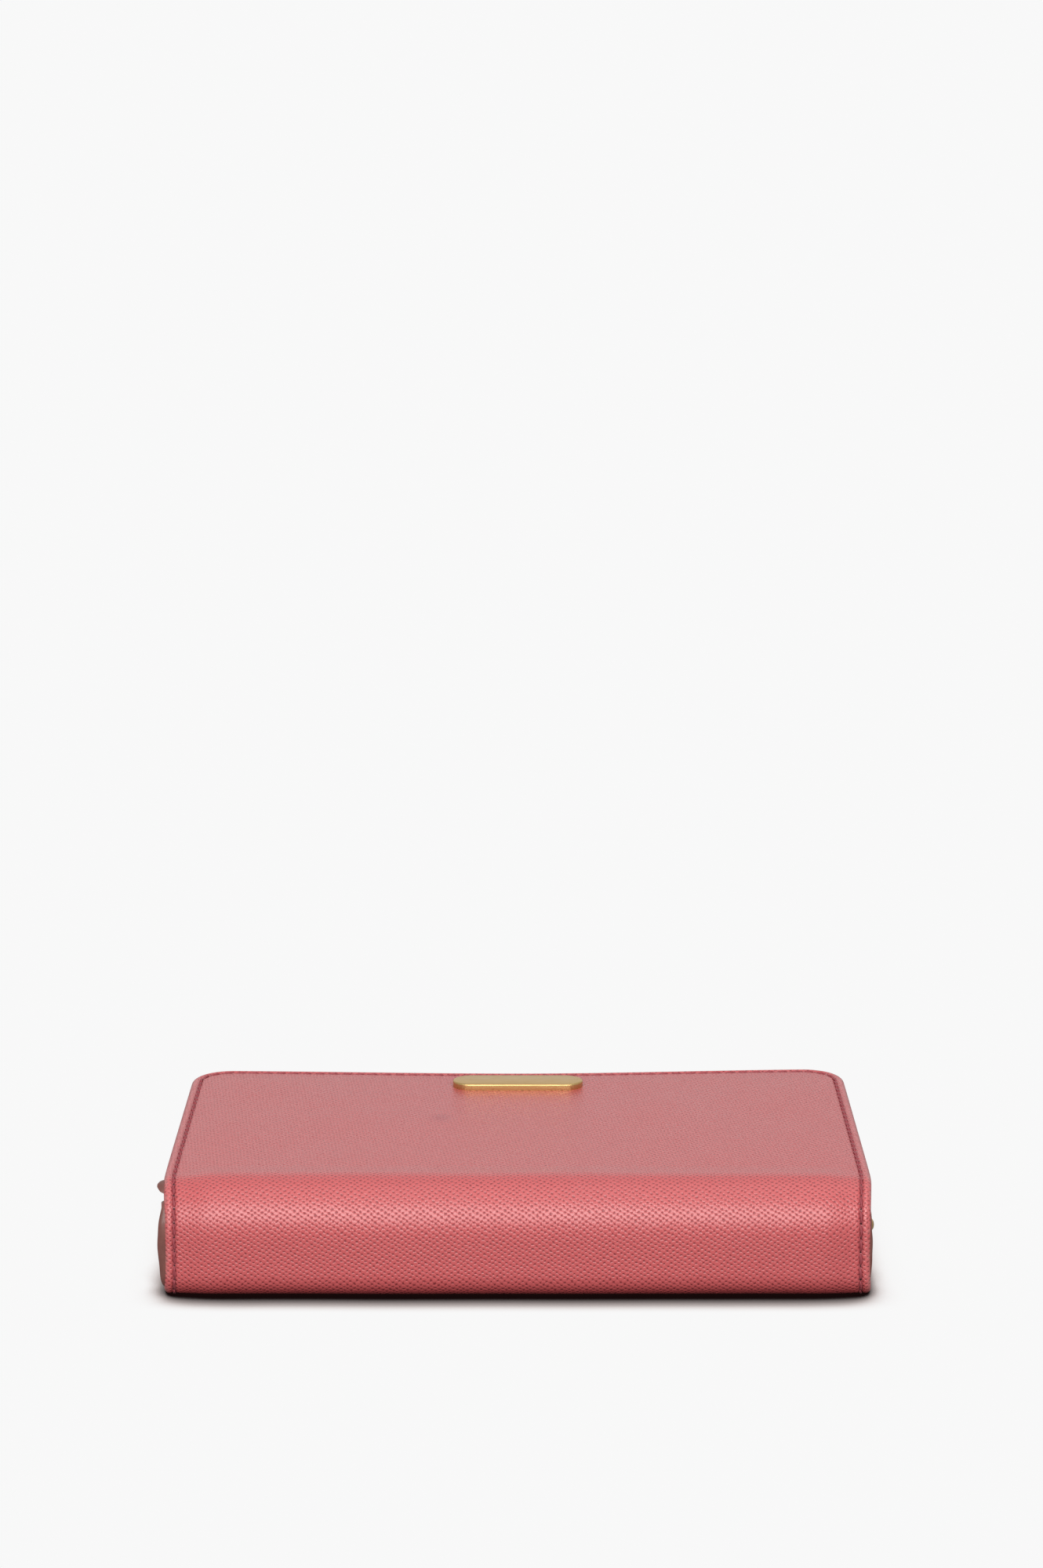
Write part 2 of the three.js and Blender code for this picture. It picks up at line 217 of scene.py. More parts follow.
def leatherFinish(name, look, rimWearAndLight=False, marked=False, solid=False):
    material, tree, shader = surface(name, look["roughness"], Coat_Weight=0.10, Coat_Roughness=0.30)
    shader.inputs["Specular IOR Level"].default_value = 0.75
    place = scaled(tree, objectPlace(tree), 1000.0) if solid else flatPlace(tree)
    height, crossing = crossGrain(tree, place, look)
    # lighter cell tops, darker towards the crossings and the pit colour in the pits: painted shade in the
    # pressed pits
    colour = colourMix(tree, spread(tree, crossing, 0.05, 0.55), look["pebble"], look["base"])
    colour = colourMix(tree, spread(tree, crossing, 0.42, 0.95, 0.0, 0.85), colour, look["pit"])
    mottle = noiseAt(tree, place, 0.045, 2.0, 0.5)
    colour = colourMix(tree, spread(tree, mottle, 0.25, 0.80, 0.0, 0.20), colour, (0.455, 0.085, 0.092, 1))
    if rimWearAndLight:
        colour = paintRimWearAndLight(tree, place, colour)
    if marked:
        colour = faintDarkPatch(tree, colour)
    paint(tree, shader, colour)
    patch = noiseAt(tree, place, 0.08, 2.0)
    rough = spread(tree, patch, 0.15, 0.85, look["roughness"] - 0.02, look["roughness"] + 0.04)
    rough = plus(tree, rough, times(tree, crossing, 0.18))
    tree.links.new(rough, shader.inputs["Roughness"])
    bumpInto(tree, shader, height, look["depth"])
    return material


# real brown scuffs of wear at the rim, painted shade along the seam's groove and a painted highlight over the
# rolled rim
def paintRimWearAndLight(tree, place, colour):
    # rimDistance is how far a point lies from the edge of the cut leather, in millimetres
    rim = put(tree, "ShaderNodeAttribute", attribute_name="rimDistance").outputs["Fac"]
    # darker along the seam's groove: painted shade
    seam = calc(tree, "ABSOLUTE", calc(tree, "SUBTRACT", rim, shell["seamInset"]))
    colour = colourMix(tree, spread(tree, seam, 0.75, 0.1, 0.0, 0.55), colour, (0.215, 0.036, 0.048, 1))
    patches = noiseAt(tree, place, 0.42, 4.0, 0.65)
    scuffed = times(tree, spread(tree, rim, 1.0, 0.25), spread(tree, patches, 0.50, 0.60))
    colour = colourMix(tree, times(tree, scuffed, 0.75), colour, (0.205, 0.110, 0.085, 1))
    # lighter patches over the rolled rim: painted highlight
    rimHighlight = times(tree, spread(tree, rim, 1.9, 0.9), spread(tree, patches, 0.35, 0.6))
    return colourMix(tree, times(tree, rimHighlight, 0.42), colour, (0.66, 0.19, 0.19, 1))


darkPatch = {"x": -18.5, "y": 6.0, "across": 4.2, "along": 6.0}


def faintDarkPatch(tree, colour):
    # a soft darker reddish patch on the front cover
    place = objectPlace(tree)
    away = vecCalc(tree, "SUBTRACT", place, (mm(darkPatch["x"]), mm(darkPatch["y"]), topZ))
    away = vecCalc(tree, "MULTIPLY", away, (1000 / darkPatch["across"], 1000 / darkPatch["along"], 400))
    far = put(tree, "ShaderNodeVectorMath", {0: away}, operation="LENGTH").outputs["Value"]
    wobbly = plus(tree, far, times(tree, noiseAt(tree, place, 320.0, 3.0), 0.5))
    return colourMix(tree, spread(tree, wobbly, 1.15, 0.30, 0.0, 0.62), colour, (0.36, 0.038, 0.052, 1))


def threadFinish():
    material, tree, shader = surface("plumThread", 0.6, Sheen_Weight=0.05, Sheen_Roughness=0.4)
    fibres = noiseAt(tree, objectPlace(tree), 2600.0, 2.0)
    colour = colourMix(tree, fibres, (0.225, 0.026, 0.038, 1), (0.385, 0.074, 0.086, 1))
    paint(tree, shader, colour)
    bumpInto(tree, shader, fibres, 0.03)
    return material


def goldFinish(roughness=0.33):
    material, tree, shader = surface("goldMetal", roughness, Metallic=1.0)
    place = objectPlace(tree)
    cloud = noiseAt(tree, place, 140.0, 3.0)
    colour = colourMix(tree, cloud, (0.66, 0.45, 0.19, 1), (0.57, 0.37, 0.15, 1))
    paint(tree, shader, colour)
    scratches = noiseAt(tree, vecCalc(tree, "MULTIPLY", place, (300, 4200, 4200)), 1.0, 3.0)
    rough = spread(tree, scratches, 0.3, 0.8, roughness - 0.05, roughness + 0.12)
    tree.links.new(rough, shader.inputs["Roughness"])
    bumpInto(tree, shader, scratches, 0.006)
    return material


def tapeFinish():
    # close herringbone weave, from the tape's own flat pattern
    material, tree, shader = surface("zipTapeWeave", 0.8, Sheen_Weight=0.3, Sheen_Roughness=0.5)
    place = flatPlace(tree)
    parts = put(tree, "ShaderNodeSeparateXYZ", {0: place})
    zig = calc(tree, "PINGPONG", parts.outputs["Y"], 1.4)
    slant = plus(tree, parts.outputs["X"], zig)
    twill = plus(tree, calc(tree, "SINE", times(tree, slant, 2 * math.pi / 0.55)), 1.0)
    weft = plus(tree, calc(tree, "SINE", times(tree, parts.outputs["Y"], 2 * math.pi / 0.28)), 1.0)
    height = plus(tree, times(tree, twill, 0.4), times(tree, weft, 0.15))
    # darker in the weave's grooves, lighter on its ridges: painted shade
    colour = colourMix(tree, spread(tree, height, 0.1, 1.0), (0.170, 0.030, 0.042, 1), (0.40, 0.095, 0.110, 1))
    paint(tree, shader, colour)
    bumpInto(tree, shader, height, 0.09)
    return material


def edgePaintFinish():
    material, tree, shader = surface("paintedEdge", 0.42, Coat_Weight=0.2)
    place = objectPlace(tree)
    lumps = noiseAt(tree, place, 420.0, 3.0)
    colour = colourMix(tree, lumps, (0.115, 0.035, 0.028, 1), (0.205, 0.075, 0.058, 1))
    paint(tree, shader, colour)
    bumpInto(tree, shader, lumps, 0.10)
    return material


def boardFinish():
    material, tree, shader = surface("paperBoard", 0.9)
    fibres = noiseAt(tree, objectPlace(tree), 900.0, 4.0)
    colour = colourMix(tree, fibres, (0.50, 0.40, 0.27, 1), (0.68, 0.58, 0.42, 1))
    paint(tree, shader, colour)
    bumpInto(tree, shader, fibres, 0.05)
    return material


def holeFinish():
    material, tree, shader = surface("needleHole", 0.9)
    fleck = noiseAt(tree, objectPlace(tree), 1500.0, 2.0)
    # near black: painted shade inside the needle holes
    colour = colourMix(tree, fleck, (0.020, 0.006, 0.008, 1), (0.060, 0.014, 0.020, 1))
    paint(tree, shader, colour)
    bumpInto(tree, shader, fleck, 0.02)
    return material


# its pit colour is painted shade in the pressed pits as well
liningLeather = dict(coralLeather, base=(0.400, 0.085, 0.095, 1), pebble=(0.455, 0.110, 0.115, 1),
                     pit=(0.215, 0.036, 0.045, 1), pitch=0.85, depth=0.07, roughness=0.52)
coral = leatherFinish("coralCrossGrain", coralLeather, rimWearAndLight=True, marked=True)
coralPlain = leatherFinish("coralCrossGrainSmall", coralLeather)
liningHide = leatherFinish("liningHide", liningLeather)
thread = threadFinish()
gold = goldFinish()
tapeWeave = tapeFinish()
edgePaint = edgePaintFinish()
paperBoard = boardFinish()
needleHole = holeFinish()
print("finishes made")


def linked(name, mesh):
    piece = bpy.data.objects.new(name, mesh)
    bpy.context.scene.collection.objects.link(piece)
    return piece


def makeMesh(name, points, faces, flat=None, material=None, sharp=None):
    mesh = bpy.data.meshes.new(name)
    mesh.from_pydata([tuple(p) for p in points], [], [tuple(f) for f in faces])
    mesh.validate()
    if flat is not None:
        layer = mesh.uv_layers.new(name="flat")
        index = np.empty(len(mesh.loops), dtype=np.int32)
        mesh.loops.foreach_get("vertex_index", index)
        layer.data.foreach_set("uv", np.asarray(flat, dtype=np.float32)[index].ravel())
    mesh.shade_smooth()
    if sharp is not None:
        mesh.set_sharp_from_angle(angle=math.radians(sharp))
    if material:
        mesh.materials.append(material)
    return linked(name, mesh)


def faceOutwards(piece):
    piece.data.update()
    if sum(f.center.dot(f.normal) * f.area for f in piece.data.polygons) < 0:
        piece.data.flip_normals()
    return piece


def sleeveFaces(rings, count, caps=True, closed=False):
    # skin over rings of points that follow one another, with flat ends
    faces = []
    for r in range(rings if closed else rings - 1):
        for k in range(count):
            a, b = r * count + k, r * count + (k + 1) % count
            after = ((r + 1) % rings - r) * count
            faces.append((a, b, b + after, a + after))
    if caps:
        faces.append(tuple(range(count))[::-1])
        faces.append(tuple((rings - 1) * count + k for k in range(count)))
    return faces


def finelySplit(points, step):
    # more points along each stretch of a line; its last point is left out
    dense = []
    for a, b in zip(points, points[1:]):
        count = max(1, int(math.dist(a, b) / step))
        dense += [tuple(p + (q - p) * i / count for p, q in zip(a, b)) for i in range(count)]
    return dense


def roundRectangle(x0, y0, x1, y1, radius, steps=6):
    points = []
    for cx, cy, start in ((x1 - radius, y0 + radius, -90), (x1 - radius, y1 - radius, 0),
                          (x0 + radius, y1 - radius, 90), (x0 + radius, y0 + radius, 180)):
        for k in range(steps + 1):
            a = math.radians(start + 90 * k / steps)
            points.append((cx + radius * math.cos(a), cy + radius * math.sin(a)))
    return points


def insetOutline(outline, distance):
    # a closed outline moved inwards by a distance
    points = np.asarray(outline, float)
    before = points - np.roll(points, 1, axis=0)
    after = np.roll(points, -1, axis=0) - points
    before /= np.linalg.norm(before, axis=1)[:, None]
    after /= np.linalg.norm(after, axis=1)[:, None]
    normals = np.stack([-(before + after)[:, 1], (before + after)[:, 0]], axis=1)
    normals /= np.linalg.norm(normals, axis=1)[:, None]
    lean = np.clip((normals * np.stack([-after[:, 1], after[:, 0]], 1)).sum(1), 0.4, 1)
    return points + normals * (distance / lean)[:, None]


def rolledEdge(rim, roll):
    # how far a surface falls away near its rim
    return roll - np.sqrt(np.maximum(roll**2 - np.clip(roll - rim, 0, roll) ** 2, 0))


def gridFaces(rows, columns, offset=0, flip=False):
    faces = []
    for r in range(rows - 1):
        for c in range(columns - 1):
            a = offset + r * columns + c
            quad = (a, a + 1, a + 1 + columns, a + columns)
            faces.append(quad[::-1] if flip else quad)
    return faces


def rimFaces(rows, columns, offset):
    # joins the border of an upper grid (from 0) to the same border of a lower one (from offset)
    border = list(range(columns))
    border += [r * columns + columns - 1 for r in range(1, rows)]
    border += [(rows - 1) * columns + c for c in range(columns - 2, -1, -1)]
    border += [r * columns for r in range(rows - 2, 0, -1)]
    return [(b, a, a + offset, b + offset) for a, b in zip(border, border[1:] + border[:1])]


backFlat = farY - spineY - backBend
frontFlat = farY - spineY - frontBend
backArc, frontArc = backBend * math.pi / 2, frontBend * math.pi / 2
wallLength = topZ - backBend - frontBend
hideLength = backFlat + backArc + wallLength + frontArc + frontFlat
spineMiddle = backFlat + backArc + midZ - backBend  # where the hide stands at half height


def spinePath(v):
    # place and outward direction, in Y and Z, at a distance v along the hide from the back's far edge
    v = np.asarray(v, float)
    y, z, ny, nz = (np.zeros_like(v) for _ in range(4))
    a, b = backFlat, backFlat + backArc
    c, d = b + wallLength, b + wallLength + frontArc
    back = v <= a
    y[back], z[back], nz[back] = farY - v[back], 0, -1
    low = (v > a) & (v <= b)
    turn = (v[low] - a) / backBend
    ny[low], nz[low] = -np.sin(turn), -np.cos(turn)
    y[low], z[low] = spineY + backBend * (1 - np.sin(turn)), backBend * (1 - np.cos(turn))
    up = (v > b) & (v <= c)
    y[up], z[up], ny[up] = spineY, backBend + v[up] - b, -1
    high = (v > c) & (v <= d)
    turn = (v[high] - c) / frontBend
    ny[high], nz[high] = -np.cos(turn), np.sin(turn)
    y[high], z[high] = spineY + frontBend * (1 - np.cos(turn)), topZ - frontBend * (1 - np.sin(turn))
    front = v > d
    y[front], z[front], nz[front] = farY - hideLength + v[front], topZ, 1
    return y, z, ny, nz


def fromSpineMiddle(v):
    return np.abs(v - spineMiddle)


def rimDistanceAt(x, v, halfSpan, inset, corner):
    # distance inwards from the hide's cut outline, a rectangle with round corners
    dx = halfSpan - np.abs(x)
    dv = np.minimum(v - inset, hideLength - inset - v)
    inCorner = (dx < corner) & (dv < corner)
    return np.where(inCorner, corner - np.hypot(corner - dx, corner - dv), np.minimum(dx, dv))


def smoothStep(t):
    t = np.clip(t, 0, 1)
    return t * t * (3 - 2 * t)


def farLift(x, v):
    left, middle, right = (mm(value) for value in shell["farLift"])
    across = np.clip(x / halfWidth, -1, 1)
    side = np.where(across < 0, left, right)
    bow = middle + (side - middle) * smoothStep(np.abs(across))
    reach = smoothStep((v - (hideLength - frontFlat)) / frontFlat)
    return bow * reach


def gentleWave(x, v):
    scale = 1 / mm(shell["waveScale"])
    heights = [noise.noise(Vector((a * scale, b * scale, 3.7))) for a, b in zip(x, v)]
    return np.array(heights) * mm(shell["wave"])


def hump(rim, middle, spreadOut):
    return np.exp(-(((rim - mm(middle)) / mm(spreadOut)) ** 2))


def faceRise(x, v, rim):
    # how far the outer face stands off the plain box: rolled edge, seam groove, padded field
    bead = hump(rim, 1.3, 0.6) * mm(shell["rimBead"])
    groove = hump(rim, shell["seamInset"], shell["seamSpread"]) * mm(shell["seamDepth"])
    field = smoothStep((rim - mm(shell["seamInset"])) / mm(shell["puffReach"]))
    bulge = np.maximum(1 - (fromSpineMiddle(v) / mm(shell["bulgeReach"])) ** 2, 0) * mm(shell["spineBulge"])
    lying = smoothStep((v - backFlat) / backArc)  # the back cover is pressed flat by what it lies on
    past = v - (hideLength - frontFlat)  # the front cover already leans a little before its bend
    lean = mm(shell["lean"]) * np.exp(-np.where(past > 0, past / mm(7), -past / mm(3.5)))
    rise = -rolledEdge(rim, mm(shell["rimRound"])) - lean
    return rise + bead * lying - groove + field * lying * (mm(shell["puff"]) + gentleWave(x, v) + bulge)


def placeOnHide(x, v, rise):
    y, z, ny, nz = spinePath(v)
    lifted = farLift(x, v)
    flare = smoothStep((fromSpineMiddle(v) - mm(5.2)) / mm(16.4)) * mm(shell["flare"])
    x = x * (1 + flare / halfWidth)
    places = np.stack([x, y + ny * rise, z + nz * rise + lifted], axis=1)
    return places, np.stack([0 * x, ny, nz], axis=1)


def spacedStops(length, fine, step):
    # close steps at both ends, even ones between, all as distances from 0 to length
    near = [mm(f) for f in fine]
    middle = length - 2 * near[-1]
    count = max(2, round(middle / mm(step)))
    inner = [near[-1] + middle * i / count for i in range(1, count)]
    return np.array(near + inner + [length - f for f in reversed(near)])


rimStops = (0, 0.06, 0.18, 0.36, 0.6, 0.9, 1.25, 1.6, 1.9, 2.1, 2.3, 2.5, 2.75, 3.1, 3.7, 4.6, 6.0, 7.6)


def roundTheCorners(x, v, halfSpan, inset, corner):
    # squeezes the square corners of the grid onto round ones
    a = np.clip((np.abs(x) - (halfSpan - corner)) / corner, 0, 1)
    fromEnd = np.minimum(v - inset, hideLength - inset - v)
    b = np.clip(1 - fromEnd / corner, 0, 1)
    both = (a > 0) & (b > 0)
    newA, newB = a * np.sqrt(1 - b * b / 2), b * np.sqrt(1 - a * a / 2)
    x = np.where(both, np.sign(x) * (halfSpan - corner + newA * corner), x)
    shift = (b - newB) * corner
    v = np.where(both, np.where(v < hideLength / 2, v + shift, v - shift), v)
    return x, v


def hideGrid(inset, stops, step):
    halfSpan = halfWidth - inset
    xs = spacedStops(2 * halfSpan, stops, step) - halfSpan
    vs = spacedStops(hideLength - 2 * inset, stops, step) + inset
    x, v = (g.ravel() for g in np.meshgrid(xs, vs))
    corner = mm(shell["corner"]) - inset
    x, v = roundTheCorners(x, v, halfSpan, inset, corner)
    return x, v, rimDistanceAt(x, v, halfSpan, inset, corner), len(vs), len(xs)


def wallAt(v):
    # the covers hold a board, the spine doesn't
    cover = smoothStep((fromSpineMiddle(v) - mm(9.0)) / mm(11.3))
    return mm(shell["wall"]) * (1 - cover) + coverWall * cover


def buildShell():
    x, v, rim, rows, columns = hideGrid(0, rimStops, shell["step"])
    rise = faceRise(x, v, rim)
    outer, _ = placeOnHide(x, v, rise)
    inner, _ = placeOnHide(x, v, -wallAt(v) + rolledEdge(rim, mm(shell["innerRound"])))
    faces = gridFaces(rows, columns, 0) + gridFaces(rows, columns, len(x), flip=True)
    faces += rimFaces(rows, columns, len(x))
    flat = np.concatenate([np.stack([x, v], 1), np.stack([x + 0.4, v], 1)]) * 1000
    piece = makeMesh("leatherShell", np.concatenate([outer, inner]), faces, flat, coral)
    layer = piece.data.attributes.new("rimDistance", "FLOAT", "POINT")
    layer.data.foreach_set("value", (np.concatenate([rim, rim + mm(6)]) * 1000).astype(np.float32))
    return piece


def bendWithCovers(piece):
    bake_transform(piece)


leatherShell = buildShell()
bendWithCovers(leatherShell)
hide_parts("back_leather", "front_leather")
print("shell made", len(leatherShell.data.polygons))


def repeatTree(name, item, finish):
    # instances of one small mesh at even distances along a line, turned to follow it
    tree = bpy.data.node_groups.new(name, "GeometryNodeTree")
    face = tree.interface
    face.new_socket(name="Line", in_out="INPUT", socket_type="NodeSocketGeometry")
    for label, value in (("Spacing", 0.003), ("Item Size", 1.0), ("Unevenness", 0.0), ("Slant", 0.0)):
        face.new_socket(name=label, in_out="INPUT", socket_type="NodeSocketFloat").default_value = value
    face.new_socket(name="Seed", in_out="INPUT", socket_type="NodeSocketInt").default_value = 7
    face.new_socket(name="Pieces", in_out="OUTPUT", socket_type="NodeSocketGeometry")
    given = tree.nodes.new("NodeGroupInput").outputs
    line = put(tree, "GeometryNodeMeshToCurve", {0: given["Line"]}).outputs[0]
    evened = put(tree, "GeometryNodeResampleCurve", {"Curve": line, "Length": given["Spacing"]}, mode="LENGTH")
    along = put(tree, "GeometryNodeInputTangent").outputs[0]
    up = put(tree, "GeometryNodeInputNamedAttribute", {"Name": "up"}, data_type="FLOAT_VECTOR").outputs[0]
    facing = put(tree, "FunctionNodeAlignRotationToVector", {"Vector": up}, axis="Z").outputs[0]
    turned = put(tree, "FunctionNodeAlignRotationToVector", {"Rotation": facing, "Vector": along},
                 axis="X", pivot_axis="Z")
    jitter = put(tree, "FunctionNodeRandomValue", {"Seed": given["Seed"]}, data_type="FLOAT")
    tree.links.new(times(tree, given["Unevenness"], -1.0), jitter.inputs[2])
    tree.links.new(given["Unevenness"], jitter.inputs[3])
    yaw = plus(tree, jitter.outputs[1], given["Slant"])
    spin = put(tree, "ShaderNodeCombineXYZ", {"Z": yaw}).outputs[0]
    local = put(tree, "FunctionNodeEulerToRotation", {0: spin}).outputs[0]
    both = {0: turned.outputs[0], 1: local}
    aimed = put(tree, "FunctionNodeRotateRotation", both, rotation_space="LOCAL").outputs[0]
    source = put(tree, "GeometryNodeObjectInfo", {"Object": item}).outputs["Geometry"]
    placed = put(tree, "GeometryNodeInstanceOnPoints", {
        "Points": evened.outputs[0], "Instance": source, "Rotation": aimed, "Scale": given["Item Size"]})
    real = put(tree, "GeometryNodeRealizeInstances", {0: placed.outputs[0]}).outputs[0]
    painted = put(tree, "GeometryNodeSetMaterial", {"Geometry": real, "Material": finish}).outputs[0]
    tree.links.new(painted, put(tree, "NodeGroupOutput").inputs[0])
    return tree


def repeatAlong(name, points, ups, item, finish, spacing, closed=False, uneven=0.0, slant=0.0):
    # the finished repeats as one plain mesh
    count = len(points)
    edges = [(i, i + 1) for i in range(count - 1)] + ([(count - 1, 0)] if closed else [])
    line = bpy.data.meshes.new(name + "Line")
    line.from_pydata([tuple(p) for p in points], edges, [])
    layer = line.attributes.new("up", "FLOAT_VECTOR", "POINT")
    layer.data.foreach_set("vector", np.asarray(ups, dtype=np.float32).ravel())
    carrier = linked(name + "Carrier", line)
    tree = repeatTree(name + "Tree", item, finish)
    modifier = carrier.modifiers.new("repeat", "NODES")
    modifier.node_group = tree
    wanted = {"Spacing": spacing, "Item Size": 1.0, "Unevenness": uneven, "Slant": slant, "Seed": 7}
    for socket in tree.interface.items_tree:
        if socket.in_out == "INPUT" and socket.name in wanted:
            modifier[socket.identifier] = wanted[socket.name]
    graph = bpy.context.evaluated_depsgraph_get()
    mesh = bpy.data.meshes.new_from_object(carrier.evaluated_get(graph))
    mesh.name = name
    mesh.shade_smooth()
    piece = linked(name, mesh)
    bpy.data.objects.remove(carrier)
    return piece


def rowAlong(name, line, facing, item, finish, spacing, closed=False):
    # repeats that all face one way
    return repeatAlong(name, line, [facing] * len(line), item, finish, spacing, closed)


def smallItem(name, points, faces):
    item = makeMesh(name, points, faces)
    item.hide_render = item.hide_viewport = True
    return item


def tubeRings(centres, radii, sides, squash=1.0):
    # rings of points round a line of centres along X, closed at both ends by a point
    points, faces = [], []
    for (x, y, z), radius in zip(centres, radii):
        for k in range(sides):
            a = 2 * math.pi * k / sides
            points.append((x, y + radius * math.cos(a), z + radius * math.sin(a) * squash))
    for r in range(len(centres) - 1):
        for k in range(sides):
            a, b = r * sides + k, r * sides + (k + 1) % sides
            faces.append((b, a, a + sides, b + sides))
    first, last = len(points), len(points) + 1
    points += [centres[0], centres[-1]]
    for k in range(sides):
        faces.append((first, k, (k + 1) % sides))
        end = (len(centres) - 1) * sides
        faces.append((last, end + (k + 1) % sides, end + k))
    return points, faces


stitch = {"pitch": 3.3, "length": 2.75, "ply": 0.19, "slant": 0.10, "uneven": 0.07, "hole": 0.42}


def twoPlyStitch():
    # two plies wound round each other, diving into a hole at each end
    points, faces = [], []
    half = mm(stitch["length"]) / 2
    for ply in (0, math.pi):
        centres, radii = [], []
        for i in range(7):
            t = i / 6
            wind = ply + t * math.pi * 1.5
            lift = mm(0.16) * math.sin(math.pi * t) ** 0.5 - mm(0.20) * abs(2 * t - 1) ** 5
            offset = mm(stitch["ply"]) * 0.75
            aside, above = offset * math.cos(wind), lift + offset * math.sin(wind) * 0.7
            centres.append((half * (2 * t - 1), aside, above))
            radii.append(mm(stitch["ply"]) * (0.75 if i in (0, 6) else 1.0))
        more, sides = tubeRings(centres, radii, 5, 0.9)
        faces += [tuple(k + len(points) for k in face) for face in sides]
        points += more
    return smallItem("stitchItem", points, faces)


def needleHoleItem():
    # a shallow dimple, drawn out along the seam; its near-black finish is painted shade inside the hole
    sides, points, faces = 8, [(0, 0, mm(-0.02))], []
    for k in range(sides):
        a = 2 * math.pi * k / sides
        points.append((mm(stitch["hole"]) * 1.25 * math.cos(a), mm(stitch["hole"]) * math.sin(a), mm(0.03)))
    under = len(points)
    points.append((0, 0, mm(-0.3)))
    for k in range(sides):
        a, b = 1 + k, 1 + (k + 1) % sides
        faces += [(0, a, b), (under, b, a)]
    return smallItem("holeItem", points, faces)


stitchItem = twoPlyStitch()
holeItem = needleHoleItem()


def roundedLoop(halfSpan, low, high, corner, step):
    # points round a rectangle with round corners, in X and V, evenly spaced
    points = roundRectangle(-halfSpan, low, halfSpan, high, corner, 12)
    return np.array(finelySplit(points + points[:1], step))


def runAlong(points):
    return np.concatenate([[0], np.cumsum(np.linalg.norm(np.diff(points, axis=0), axis=1))])


def addSeam():
    inset = mm(shell["seamInset"])
    corner = mm(shell["corner"]) - inset
    loop = roundedLoop(halfWidth - inset, inset, hideLength - inset, corner, mm(0.8))
    x, v = loop[:, 0], loop[:, 1]
    rim = np.full(len(x), inset)
    rise = faceRise(x, v, rim)
    _, ups = placeOnHide(x, v, rise)
    threadLine, _ = placeOnHide(x, v, rise + mm(0.12))
    holeLine, _ = placeOnHide(x, v, rise + mm(0.03))
    length = runAlong(np.vstack([threadLine, threadLine[:1]]))[-1]
    pitch = float(length) / round(length / mm(stitch["pitch"]))
    seam = repeatAlong("coverSeam", threadLine, ups, stitchItem, thread, pitch, True,
                       stitch["uneven"], stitch["slant"])
    # the holes lie between the stitches
    shift = int(np.searchsorted(runAlong(holeLine), pitch / 2))
    holeLine, ups = np.roll(holeLine, -shift, axis=0), np.roll(ups, -shift, axis=0)
    holes = repeatAlong("seamHoles", holeLine, ups, holeItem, needleHole, pitch, True)
    for piece in (seam, holes):
        bendWithCovers(piece)
    print("seam made", round(length / pitch), "stitches")


addSeam()


# cut, painted edges of the folded zip ends, standing a little proud behind the spine's rims
zipEndFold = {
    "left": ((-12.4, 10.8, 1.5, 0.62), (12.2, 17.6, 1.5, 0.3)),  # from, to, stands proud, half thickness
    "right": ((-11.0, 9.0, 0.42, 0.5),),
    "depth": 1.0,
    "rooted": 0.4,  # starts this far inside the rim
}


def addZipEndFolds():
    rows, sides = 36, 10
    for word, hand in (("left", -1), ("right", 1)):
        for number, (start, stop, proud, thick) in enumerate(zipEndFold[word], 1):
            t = np.linspace(0, 1, rows + 1)[1:-1]
            v = spineMiddle + mm(start) + mm(stop - start) * t
            swell = np.sin(math.pi * t) ** 0.55
            ripple = np.array([noise.noise(Vector((hand * 3.0, number, a * 5))) for a in t]) * mm(0.16)
            rooted = np.full(len(v), hand * (halfWidth - mm(zipEndFold["rooted"])))
            middle, normal = placeOnHide(rooted, v, -mm(zipEndFold["depth"]))
            points = []
            for centre, up, size, wobble in zip(middle, normal, swell, ripple):
                for k in range(sides):
                    a = 2 * math.pi * k / sides
                    out = (mm(proud + zipEndFold["rooted"]) * size + wobble) * math.cos(a)
                    rise = mm(thick) * size * math.sin(a)
                    points.append(tuple(centre + np.array((hand * out, 0, 0)) + up * rise))
            name = f"zipEndFold{word.capitalize()}{number}"
            piece = faceOutwards(makeMesh(name, points, sleeveFaces(len(v), sides), None, edgePaint, sharp=50))
            bendWithCovers(piece)


addZipEndFolds()


def rolledPlate(name, outline, low, high, roll, material, turn=None, rollLow=None, steps=4):
    # a plate over an outline, between two heights, with both rims rolled over
    rollLow = roll if rollLow is None else rollLow
    rings = []
    for k in range(steps + 1):
        a = math.pi / 2 * k / steps
        rings.append((rollLow * (1 - math.sin(a)), low + rollLow * (1 - math.cos(a))))
    for k in range(steps + 1):
        a = math.pi / 2 * k / steps
        rings.append((roll * (1 - math.cos(a)), high - roll * (1 - math.sin(a))))
    points, count = [], len(outline)
    for inset, z in rings:
        points += [(x, y, z) for x, y in insetOutline(outline, inset)]
    faces = sleeveFaces(len(rings), count)
    flat = [(p[0] * 1000, (p[1] + p[2]) * 1000) for p in points]
    piece = makeMesh(name, points, faces, flat, material, sharp=40)
    if turn is not None:
        piece.data.transform(turn)
    return piece


